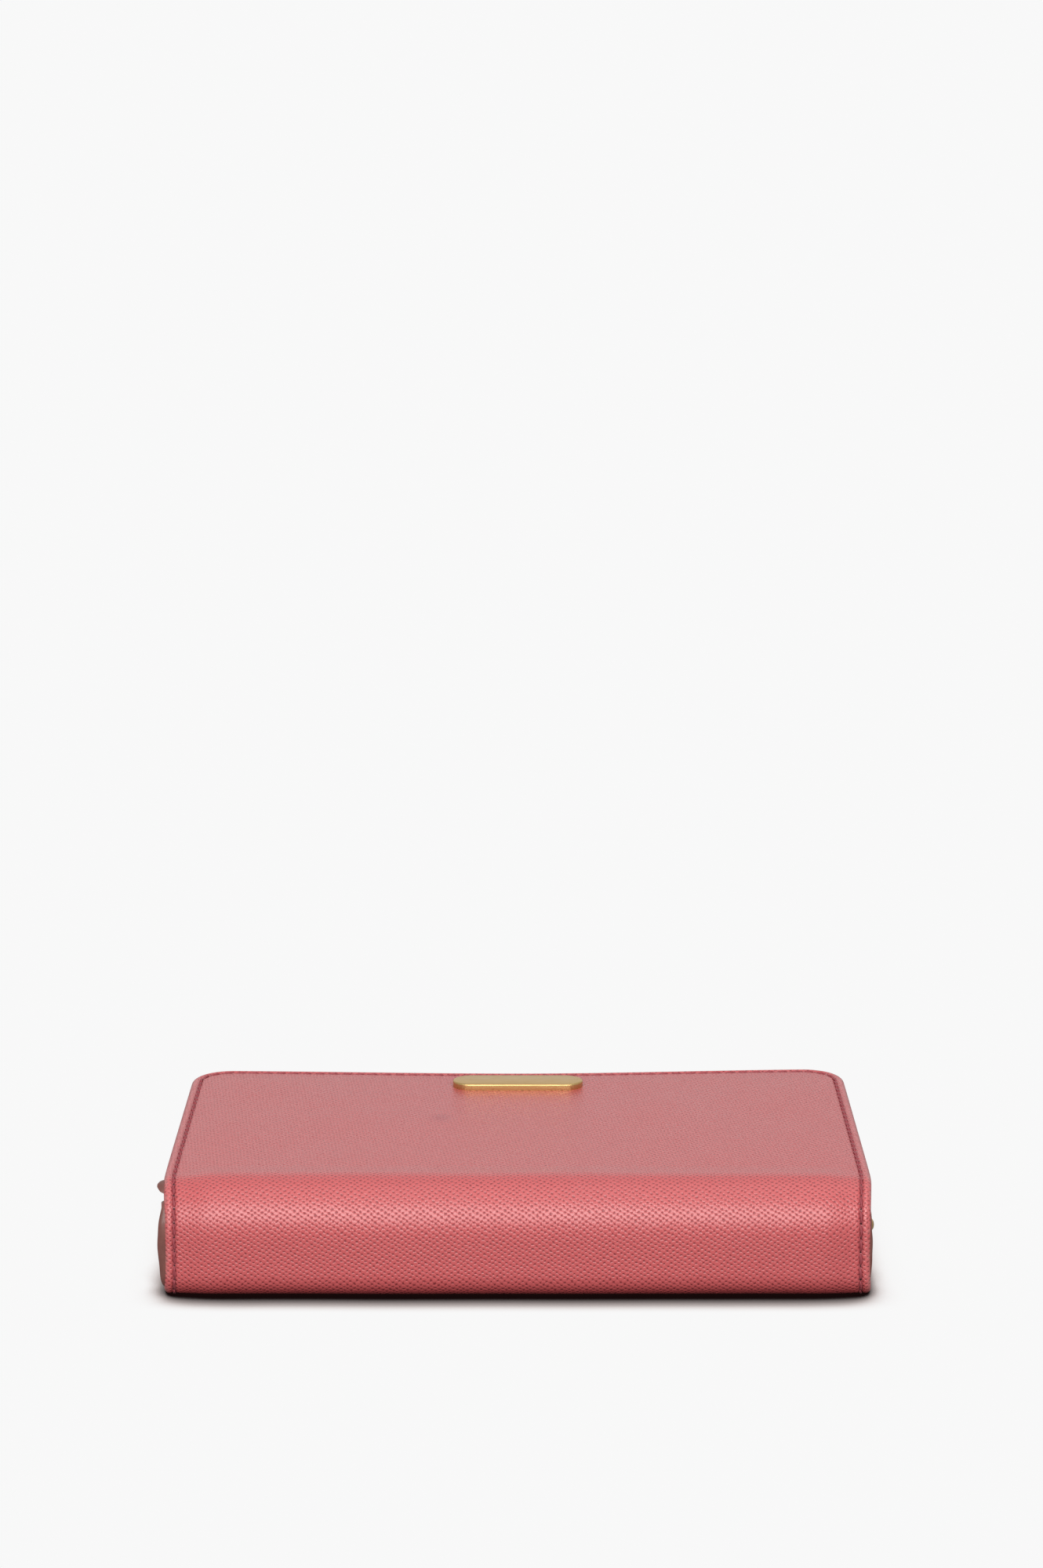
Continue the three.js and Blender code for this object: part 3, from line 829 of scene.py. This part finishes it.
def tube(name, points, radius, material, closed=True, sides=12, squash=(1.0, 1.0)):
    # a round bar that follows a flat line of points
    path = np.asarray(points, float)
    count = len(path)
    forward = np.roll(path, -1, axis=0) - np.roll(path, 1, axis=0)
    if not closed:
        forward[0], forward[-1] = path[1] - path[0], path[-1] - path[-2]
    forward /= np.linalg.norm(forward, axis=1)[:, None]
    normal = np.cross(path[1] - path[0], path[count // 3] - path[0])
    normal /= np.linalg.norm(normal)
    side = np.cross(forward, normal)
    verts, flat = [], []
    for i in range(count):
        for k in range(sides):
            a = 2 * math.pi * k / sides
            spoke = math.cos(a) * squash[0] * side[i] + math.sin(a) * squash[1] * normal
            verts.append(path[i] + radius * spoke)
            flat.append((i, k))
    faces = sleeveFaces(count, sides, caps=not closed, closed=closed)
    return faceOutwards(makeMesh(name, verts, faces, flat, material, sharp=50))


def finishPiece(piece, body, slotName, *nodes):
    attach(piece, body)
    if nodes:
        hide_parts(*nodes)
    return piece


mainZip = {"pitch": 2.0, "tooth": 0.95, "bow": 0.5, "tapeWall": 0.45}
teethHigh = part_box("back_zip_teeth")[1]
tapeLow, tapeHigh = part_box("back_zip_tape")
zipX = tapeHigh.x - mm(0.4)
zipY = zipX - halfWidth + farY
zipStart = tapeLow.y
zipCorner = mm(shell["corner"]) - (halfWidth - zipX)


def zipLine(step):
    # place and outward direction along the zip, from the left spine end round to the right one
    reach, far = zipX - zipCorner, zipY - zipCorner
    length = far - zipStart
    sideCount, farCount = round(length / step), round(2 * reach / step)
    turns = max(6, round(zipCorner * math.pi / 2 / step))

    def roundCorner(x, start):
        bend = []
        for k in range(turns):
            a = start - math.pi / 2 * k / turns
            nx, ny = math.cos(a), math.sin(a)
            bend.append(((x + zipCorner * nx, far + zipCorner * ny), (nx, ny)))
        return bend

    spots = [((-zipX, zipStart + length * i / sideCount), (-1, 0)) for i in range(sideCount)]
    spots += roundCorner(-reach, math.pi)
    spots += [((-reach + 2 * reach * i / farCount, zipY), (0, 1)) for i in range(farCount)]
    spots += roundCorner(reach, math.pi / 2)
    return spots + [((zipX, far - length * i / sideCount), (1, 0)) for i in range(sideCount + 1)]


def sweepSection(name, line, section, material):
    # a closed section of (outwards, height) points carried along a flat line
    count = len(section)
    points, flat, run, last = [], [], 0.0, None
    around = np.concatenate([[0], np.cumsum([math.dist(a, b) for a, b in zip(section, section[1:])])])
    for (x, y), (nx, ny) in line:
        run += math.dist((x, y), last) if last else 0.0
        last = (x, y)
        for (out, z), far in zip(section, around):
            points.append((x + nx * out, y + ny * out, z))
            flat.append((run * 1000, far * 1000))
    return faceOutwards(makeMesh(name, points, sleeveFaces(len(line), count), flat, material, sharp=60))


def overTheTop(z, side):
    # the front half is the back half turned over in height
    return z if side == "back" else topZ - z


def tapeSection(side):
    # stands up from the cover with a slight outward bow and ends in the corded edge that grips the teeth
    wall, bow = mm(mainZip["tapeWall"]) / 2, mm(mainZip["bow"])
    low, high = tapeLow.z - mm(0.15), teethHigh.z - mm(0.85)
    steps = 9
    outer, inner = [], []
    for k in range(steps + 1):
        t = k / steps
        z = low + (high - low) * t
        middle = bow * math.sin(math.pi * t) + mm(0.9) * (1 - t) ** 4
        thick = wall + mm(0.25) * math.exp(-(((t - 0.94) / 0.06) ** 2))
        outer.append((middle + thick, overTheTop(z, side)))
        inner.append((middle - thick, overTheTop(z, side)))
    return outer + inner[::-1]


def toothItem():
    # a metal tooth: legs that clamp the tape, a waist, and a rounded head with a nib
    wide = mm(mainZip["tooth"]) / 2
    outline = [(-1.05, -1.15), (1.05, -1.15), (1.12, -0.3), (0.82, 0.15), (0.95, 0.55), (0.62, 0.98),
               (-0.62, 0.98), (-0.95, 0.55), (-0.82, 0.15), (-1.12, -0.3)]
    outline = [(mm(y), mm(z)) for y, z in outline]
    small = insetOutline(outline, mm(0.16))
    points, count = [], len(outline)
    for x, ring in ((-wide, small), (-wide * 0.72, outline), (wide * 0.72, outline), (wide, small)):
        points += [(x, y, z) for y, z in ring]
    item = smallItem("toothItem", points, sleeveFaces(4, count))
    item.data.shade_flat()
    return item


def addMainZip():
    tooth = toothItem()
    for side in ("back", "front"):
        up = 1 if side == "back" else -1
        tapePiece = sweepSection(f"{side}ZipTape", zipLine(mm(2.0)), tapeSection(side), tapeWeave)
        finishPiece(tapePiece, side, "zip_tape", f"{side}_zip_tape")
        skip = mm(mainZip["pitch"]) / 2 if side == "front" else 0.0
        fine = mm(0.5)
        spots = zipLine(fine)[round(skip / fine):]
        z = overTheTop(teethHigh.z - mm(0.62), side)
        line = [(x, y, z) for (x, y), _ in spots]
        row = rowAlong(f"{side}ZipTeeth", line, (0, 0, up), tooth, gold, mm(mainZip["pitch"]))
        row.data.set_sharp_from_angle(angle=math.radians(30))
        finishPiece(row, side, "gold_metal", f"{side}_zip_teeth")


addMainZip()
print("main zip made")


standOnSide = Matrix(((0, 0, 1, 0), (1, 0, 0, 0), (0, 1, 0, 0), (0, 0, 0, 1)))  # X to Y, Y to Z, Z to X


def sliderOutline(length, wide, narrow):
    # shield shape: broad where the rows part, narrow where they close
    half, points = length / 2, []
    for k in range(9):
        a = -math.pi / 2 + math.pi * k / 8
        points.append((half - narrow * 0.55 + narrow * 0.55 * math.cos(a), narrow * math.sin(a)))
    upper = [(half * 0.15, wide), (-half * 0.55, wide), (-half * 0.9, wide * 0.82), (-half, wide * 0.45)]
    return points + upper + [(x, -y) for x, y in reversed(upper)]


def addSlider():
    low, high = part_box("zip_slider_outer")
    middleY, length, wide = (low.y + high.y) / 2, high.y - low.y, (high.z - low.z) / 2
    plateTop = low.x + mm(1.2)
    shift = Matrix.Translation((0, middleY, midZ)) @ standOnSide
    outline = sliderOutline(length, wide, wide * 0.62)
    outer = rolledPlate("sliderBody", outline, low.x, plateTop, mm(0.45), gold, shift)
    innerLow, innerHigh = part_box("zip_slider_inner")
    under = rolledPlate("sliderUnderplate", outline, innerLow.x, innerHigh.x, mm(0.3), gold, shift)
    arch = []
    for k in range(17):
        a = math.pi * k / 16
        arch.append((plateTop - mm(0.2) + (high.x - plateTop - mm(0.25)) * math.sin(a) ** 0.6,
                     middleY - mm(2.35) * math.cos(a), midZ))
    bridge = tube("sliderBridge", arch, mm(0.42), gold, closed=False, sides=10, squash=(1.0, 2.6))
    finishPiece(outer, "zip_slider", "gold_metal", "zip_slider_outer")
    finishPiece(under, "zip_slider", "gold_metal", "zip_slider_inner")
    finishPiece(bridge, "zip_slider", "gold_metal")


pull = {
    "bar": 0.48,
    "corner": 1.4,
    "widening": 0.16,  # the tab's far end is this share wider than its near end
    "skin": 0.62,  # leather over the painted edge, on each face
    "seamInset": 1.15,
    "seamPitch": 3.0,
}


def addPull():
    low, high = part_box("zip_pull_stirrup")
    bar = mm(pull["bar"])
    middleX = (low.x + high.x) / 2
    wide = (high.z - low.z) / 2 - bar
    frameOutline = roundRectangle(low.y + bar, -wide, high.y - bar, wide, mm(1.5), 5)
    stirrup = tube("pullStirrup", [(middleX, y, midZ + z) for y, z in frameOutline], bar, gold)
    finishPiece(stirrup, "zip_pull", "gold_metal", "zip_pull_stirrup")
    low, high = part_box("zip_pull_leather")
    outline = roundRectangle(low.y, low.z - midZ, high.y, high.z - midZ, mm(pull["corner"]))
    widening = pull["widening"]
    outline = [(y, z * (1 + widening * smoothStep((y - low.y) / (high.y - low.y)))) for y, z in outline]
    lift = Matrix.Translation((0, 0, midZ)) @ standOnSide
    core = rolledPlate("pullTab", outline, low.x, high.x, mm(0.55), coralPlain, lift)
    skin, proud = mm(pull["skin"]), insetOutline(outline, -mm(0.10))
    edge = rolledPlate("pullTabEdge", proud, low.x + skin, high.x - skin, mm(0.2), edgePaint, lift)
    finishPiece(core, "zip_pull", "coral_leather", "zip_pull_leather")
    finishPiece(edge, "zip_pull", "painted_edge_leather")
    inner = insetOutline(outline, mm(pull["seamInset"]))
    dense = finelySplit(list(inner) + [inner[0]], mm(0.5))
    for word, x, face in (("Outer", high.x + mm(0.05), 1), ("Inner", low.x - mm(0.05), -1)):
        line = [(x, y, z + midZ) for y, z in dense]
        seam = rowAlong(f"pullSeam{word}", line, (face, 0, 0), stitchItem, thread, mm(pull["seamPitch"]), True)
        finishPiece(seam, "zip_pull", "coral_leather")


addSlider()
addPull()


ring = {"bar": 0.85, "bend": 1.2}
# half the legs' thickness, the loop's wall, where it narrows
ringTab = {"leg": 0.95, "leather": 0.85, "neck": 3.2}


def addRing():
    low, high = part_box("strap_ring")
    bar, bend = mm(ring["bar"]), mm(ring["bend"])
    x = (low.x + high.x) / 2
    y0, y1, half = low.y + bar * 0.8, high.y - bar, (high.z - low.z) / 2 - bar
    points = []
    arcs = ((y0 + bend, -half + bend, bend, 180, 270), (y1 - half, 0, half, -90, 90),
            (y0 + bend, half - bend, bend, 90, 180))
    for cy, cz, radius, start, stop in arcs:
        for k in range(15):
            a = math.radians(start + (stop - start) * k / 14)
            points.append((x, cy + radius * math.cos(a), midZ + cz + radius * math.sin(a)))
    straight = half - bend
    points += [(x, y0, midZ + straight - 2 * straight * k / 8) for k in range(1, 8)]
    made = tube("strapRing", points, bar * 0.9, gold, sides=14)
    finishPiece(made, "strap_ring", "gold_metal", "strap_ring")


def addRingTab():
    # one strip of leather folded round the ring's bar, its two legs stitched together
    low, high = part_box("ring_tab")
    ringLow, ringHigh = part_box("strap_ring")
    x, y = (ringLow.x + ringHigh.x) / 2, ringLow.y + mm(0.7)
    outer, leg, neck = (high.x - low.x) / 2, mm(ringTab["leg"]), y - mm(ringTab["neck"])
    inner = outer - mm(ringTab["leather"])
    outline = [(x + leg, low.y), (x + leg, neck)]
    for k in range(19):
        a = math.radians(-52 + 284 * k / 18)
        outline.append((x + outer * math.cos(a), y + outer * math.sin(a)))
    outline += [(x - leg, neck), (x - leg, low.y)]
    round24 = [2 * math.pi * k / 24 for k in range(24)]
    eye = [(x + inner * math.cos(a), y + inner * math.sin(a)) for a in round24]
    tabPiece = platedLoop("ringTab", outline, eye, low.z, high.z)
    finishPiece(tabPiece, "back", "painted_edge_leather", "ring_tab")


def platedLoop(name, outline, eye, low, high):
    # an outline with an eye through it: sides as strips, both faces filled round the eye
    net = bmesh.new()
    rings = [[[net.verts.new((px, py, z)) for px, py in loop] for loop in (outline, eye)] for z in (low, high)]
    for loop in (0, 1):
        bottom, top = rings[0][loop], rings[1][loop]
        for k in range(len(bottom)):
            n = (k + 1) % len(bottom)
            net.faces.new((bottom[k], bottom[n], top[n], top[k]))
    for loops in rings:
        edges = [net.edges.get((loop[k], loop[(k + 1) % len(loop)])) for loop in loops for k in range(len(loop))]
        bmesh.ops.triangle_fill(net, edges=edges, use_beauty=True)
    bmesh.ops.recalc_face_normals(net, faces=net.faces)
    mesh = bpy.data.meshes.new(name)
    net.to_mesh(mesh)
    net.free()
    layer = mesh.uv_layers.new(name="flat")
    for loop in mesh.loops:
        p = mesh.vertices[loop.vertex_index].co
        layer.data[loop.index].uv = ((p.x + p.y) * 1000, p.z * 1000)
    mesh.shade_smooth()
    mesh.set_sharp_from_angle(angle=math.radians(40))
    mesh.materials.append(coralPlain)
    mesh.materials.append(edgePaint)
    for face in mesh.polygons:
        face.material_index = 1 if abs(face.normal.z) > 0.5 else 0
    return linked(name, mesh)


addRing()
addRingTab()
print("slider, pull and ring made")


def addPlaque():
    low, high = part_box("plaque")
    outline = roundRectangle(low.x, low.y, high.x, high.y, (high.y - low.y) / 2 * 0.999, 12)
    lift = Matrix.Translation((0, 0, mm(0.35)))
    plate = rolledPlate("plaque", outline, topZ - mm(0.3), high.z, mm(0.4), gold, lift, mm(0.1))
    finishPiece(plate, "front", "gold_metal", "plaque")


addPlaque()


inside = {
    "liningInset": 1.35,
    "lining": 0.42,
    "slotSeam": 1.6,
    "seamPitch": 2.8,
    "pocketSeam": 2.0,
}


def buildLining():
    stops = (0, 0.15, 0.4, 0.8, 1.4, 2.4, 4.0)
    x, v, rim, rows, columns = hideGrid(mm(inside["liningInset"]), stops, 3.0)
    wall = wallAt(v)
    under, _ = placeOnHide(x, v, -wall + mm(0.25))
    over, _ = placeOnHide(x, v, -wall - mm(inside["lining"]) + rolledEdge(rim, mm(0.3)))
    faces = gridFaces(rows, columns, 0) + gridFaces(rows, columns, len(x), flip=True)
    faces += rimFaces(rows, columns, len(x))
    flat = np.tile(np.stack([x, v], 1) * 1000, (2, 1))
    piece = makeMesh("innerLining", np.concatenate([under, over]), faces, flat, liningHide)
    bendWithCovers(piece)
    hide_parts("back_lining", "front_lining")


def flatStitches(name, line, up, body):
    points = finelySplit(line, mm(0.6)) + [tuple(line[-1])]
    seam = rowAlong(name, points, (0, 0, up), stitchItem, thread, mm(inside["seamPitch"]))
    finishPiece(seam, body, "lining_leather")


def addCardSlots():
    for side in ("back", "front"):
        up = 1 if side == "back" else -1
        for number in range(1, 5):
            node = f"{side}_card_slot_{number}"
            low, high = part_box(node)
            outline = roundRectangle(low.x, low.y, high.x, high.y, mm(1.5))
            strip = rolledPlate(f"{side}CardSlot{number}", outline, low.z, high.z, mm(0.22), liningHide)
            finishPiece(strip, side, "lining_leather", node)
            face = (high.z if side == "back" else low.z) + up * mm(0.03)
            mouth = high.y - mm(inside["slotSeam"])
            line = [(low.x + mm(2), mouth, face), (high.x - mm(2), mouth, face)]
            flatStitches(f"{side}SlotMouthSeam{number}", line, up, side)
        nearY = low.y + mm(2)
        flatStitches(f"{side}SlotDivider", [(0, nearY, face), (0, mouth - mm(1), face)], up, side)


def addCoinPocket():
    for side in ("back", "front"):
        low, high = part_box(f"coin_pocket_{side}_panel")
        outline = roundRectangle(low.x, low.y, high.x, high.y, mm(1.0))
        panel = rolledPlate(f"coinPocket{side.capitalize()}", outline, low.z, high.z, mm(0.35), liningHide)
        finishPiece(panel, "centre", "lining_leather", f"coin_pocket_{side}_panel")
        up = -1 if side == "back" else 1
        face = (low.z if side == "back" else high.z) + up * mm(0.03)
        inset = mm(inside["pocketSeam"])
        left, right, near, far = low.x + inset, high.x - inset, low.y + inset, high.y - inset
        round4 = ((left, far), (left, near), (right, near), (right, far), (left, far))
        flatStitches(f"coinPocketSeam{side.capitalize()}", [(x, y, face) for x, y in round4], up, "centre")


coinZip = {"pitch": 1.5, "apart": 0.42}  # how far each row stands from the middle


def addCoinZip():
    low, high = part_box("coin_zip_tape")
    outline = roundRectangle(low.x, low.z - midZ, high.x, high.z - midZ, mm(0.5))
    lay = Matrix(((1, 0, 0, 0), (0, 0, -1, 0), (0, 1, 0, 0), (0, 0, 0, 1)))  # Y to Z, Z to -Y
    stand = Matrix.Translation((0, 0, midZ)) @ lay
    tapePiece = rolledPlate("coinZipTape", outline, -high.y, -low.y, mm(0.15), tapeWeave, stand)
    finishPiece(tapePiece, "centre", "zip_tape", "coin_zip_tape")
    low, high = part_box("coin_zip_teeth")
    y = (low.y + high.y) / 2
    small = bpy.data.objects["toothItem"].data.copy()
    small.transform(Matrix.Diagonal((0.75, 0.55, 0.62, 1)))
    item = linked("coinToothItem", small)
    item.hide_render = item.hide_viewport = True
    pitch, length = mm(coinZip["pitch"]), high.x - low.x - mm(1)
    for word, up, shift in (("Low", 1, 0), ("High", -1, pitch / 2)):
        z = midZ - up * mm(coinZip["apart"])
        line = [(low.x + shift + length * i / 300, y, z) for i in range(301)]
        row = rowAlong(f"coinZipTeeth{word}", line, (0, 0, up), item, gold, pitch)
        row.data.set_sharp_from_angle(angle=math.radians(30))
        finishPiece(row, "centre", "gold_metal", *(["coin_zip_teeth"] if word == "Low" else []))
    low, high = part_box("coin_slider")
    outline = sliderOutline(high.x - low.x, (high.z - low.z) / 2, (high.z - low.z) / 3.2)
    move = Matrix.Translation(((low.x + high.x) / 2, 0, midZ)) @ lay
    slider = rolledPlate("coinSlider", outline, -high.y, -low.y, mm(0.3), gold, move)
    finishPiece(slider, "coin_slider", "gold_metal", "coin_slider")
    low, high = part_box("coin_pull")
    outline = roundRectangle(low.x, low.z - midZ, high.x, high.z - midZ, mm(1.75))
    coinPull = rolledPlate("coinPull", outline, -high.y, -low.y, mm(0.25), gold, stand)
    finishPiece(coinPull, "coin_slider", "gold_metal", "coin_pull")


gusset = {
    "wall": 0.45,
    "bite": 0.75,  # its inner edge runs into the middle of the coin pocket's wall
    "inset": 0.1,
    "clear": 0.4,  # between the fold and the space kept for it
    "ripple": 0.25,
    "lip": 0.5,  # stands this far off the cover
}


def gussetSheet(low, high, side, hand, wall):
    # one face of the pleat: points, and its flat pattern
    edge = (high.x if hand > 0 else -low.x) - mm(gusset["inset"])
    fold = edge - (high.x - low.x)
    up, thick = (1 if side == "back" else -1), mm(gusset["wall"]) * wall
    points, flat = [], []
    for r in range(gussetRows + 1):
        y = low.y + (high.y - low.y) * r / gussetRows
        for k in range(gussetSteps + 1):
            t = k / gussetSteps
            deep = math.sin(math.pi * t) ** 0.8
            x = edge - (edge - fold - mm(gusset["clear"])) * deep
            x += mm(gusset["ripple"]) * math.sin(y * 180 + up * 1.7) * deep
            # the wall is skived away where it meets the coin pocket
            full = smoothStep((1 - t if side == "back" else t) / 0.22)
            z = low.z + (high.z - low.z) * t
            z += (mm(gusset["lip"]) - thick) * math.cos(math.pi * t) * full
            x -= thick * math.sin(math.pi * t) + mm(0.08) * wall
            points.append((hand * x, y, z))
            flat.append((y * 1000, t * 14))
    return points, flat


gussetRows, gussetSteps = 24, 16


def addGussets():
    # one soft pleat between a cover and the coin pocket on each side, fanning as the wallet opens
    rows, columns = gussetRows + 1, gussetSteps + 1
    for side in ("back", "front"):
        for word, hand in (("left", -1), ("right", 1)):
            low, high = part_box(f"gusset_{side}_{word}")
            if side == "back":
                high.z += mm(gusset["bite"])
            else:
                low.z -= mm(gusset["bite"])
            outer, outerFlat = gussetSheet(low, high, side, hand, 0)
            inner, innerFlat = gussetSheet(low, high, side, hand, 1)
            count = len(outer)
            faces = gridFaces(rows, columns, 0, flip=hand > 0) + gridFaces(rows, columns, count, flip=hand < 0)
            border = rimFaces(rows, columns, count)
            faces += [f[::-1] for f in border] if hand > 0 else border
            name = f"gusset{side.capitalize()}{word.capitalize()}"
            piece = makeMesh(name, outer + inner, faces, outerFlat + innerFlat, liningHide, sharp=60)
            faceOutwards(piece)
            if side == "back":
                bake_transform(piece)
            else:
                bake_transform(piece)
            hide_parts(f"gusset_{side}_{word}")


def dressFrameNodes():
    # CAD nodes that keep their own shape
    finishes = {"coin_pocket_edge": liningHideSolid, "back_board": paperBoard, "front_board": paperBoard,
                "plaque_washer_left": gold, "plaque_washer_right": gold}
    for node, finish in finishes.items():
        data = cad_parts[node].data
        data.materials.clear()
        data.materials.append(finish)


liningHideSolid = leatherFinish("liningHideEdge", liningLeather, solid=True)
buildLining()
addCardSlots()
addCoinPocket()
addCoinZip()
addGussets()
dressFrameNodes()
print("inside made")


studio = {
    "lens": 91.8,
    "camera": (0.9, -869.5, 283.4),  # from the middle of the spine's front, on the floor
    "pitch": 10.71,
    "backdrop": 0.94,
    "fill": 0.56,  # light from all round
    "bounce": 0.34,  # light the floor gives back
    "shadowReach": 10.0,
    "shadowRange": (0.32, 0.99),
    "shadowTone": (0.008, 0.003, 0.003, 1),
    "shadowEdge": (0.80, 0.70, 0.68, 1),
}


def addCamera():
    data = bpy.data.cameras.new("studioCamera")
    data.lens = studio["lens"]
    data.sensor_width = 36
    data.clip_end = 20
    camera = linked("studioCamera", data)
    x, y, z = (mm(value) for value in studio["camera"])
    camera.location = (x, spineY + y, z)
    camera.rotation_euler = (math.radians(90 - studio["pitch"]), 0, 0)
    bpy.context.scene.camera = camera


def addSoftLight(name, place, aim, size, power):
    data = bpy.data.lights.new(name, "AREA")
    data.shape = "RECTANGLE"
    data.size, data.size_y = size
    data.energy = power
    lamp = linked(name, data)
    lamp.location = place
    lamp.visible_camera = False
    lamp.rotation_mode = "QUATERNION"
    lamp.rotation_quaternion = (Vector(aim) - Vector(place)).to_track_quat("-Z", "Y")


def addFloor():
    # even pale paper that darkens only where the wallet closes in on it
    material = bpy.data.materials.new("paleFloor")
    material.use_nodes = True
    tree = material.node_tree
    tree.nodes.clear()
    near = {"Distance": mm(studio["shadowReach"])}
    openness = put(tree, "ShaderNodeAmbientOcclusion", near, samples=24).outputs["AO"]
    low, high = studio["shadowRange"]
    warm = colourMix(tree, spread(tree, openness, low, high), studio["shadowTone"], studio["shadowEdge"])
    tone = colourMix(tree, spread(tree, openness, (low + high) / 2, high), warm, (1, 1, 1, 1))
    seen = put(tree, "ShaderNodeLightPath").outputs["Is Camera Ray"]
    strength = spread(tree, seen, 0.0, 1.0, studio["bounce"], studio["backdrop"])
    paper = put(tree, "ShaderNodeEmission", {"Color": tone, "Strength": strength}).outputs[0]
    put(tree, "ShaderNodeOutputMaterial", {"Surface": paper})
    reach = 40.0
    corners = [(-2 * reach, -reach, 0), (2 * reach, -reach, 0), (0, 2 * reach, 0)]
    floor = makeMesh("floor", corners, [(0, 1, 2)], None, material)


def lightTheRoom():
    world = bpy.data.worlds.new("paleRoom")
    bpy.context.scene.world = world
    world.use_nodes = True
    tree = world.node_tree
    tree.nodes["Background"].inputs["Color"].default_value = (1, 1, 1, 1)
    seen = put(tree, "ShaderNodeLightPath").outputs["Is Camera Ray"]
    strength = spread(tree, seen, 0.0, 1.0, studio["fill"], studio["backdrop"])
    tree.links.new(strength, tree.nodes["Background"].inputs["Strength"])
    bpy.context.scene.view_settings.view_transform = "Standard"
    addSoftLight("keyPanel", (-0.05, -0.92, 0.60), (0, 0, 0.013), (1.5, 0.66), 12.0)
    addSoftLight("topPanel", (0.1, -0.10, 1.05), (0, 0, 0), (1.3, 0.6), 1.8)
    addSoftLight("backPanel", (0.0, 1.6, 0.66), (0, 0, 0.02), (2.4, 0.9), 1.8)


addCamera()
addFloor()
lightTheRoom()
print("studio set")
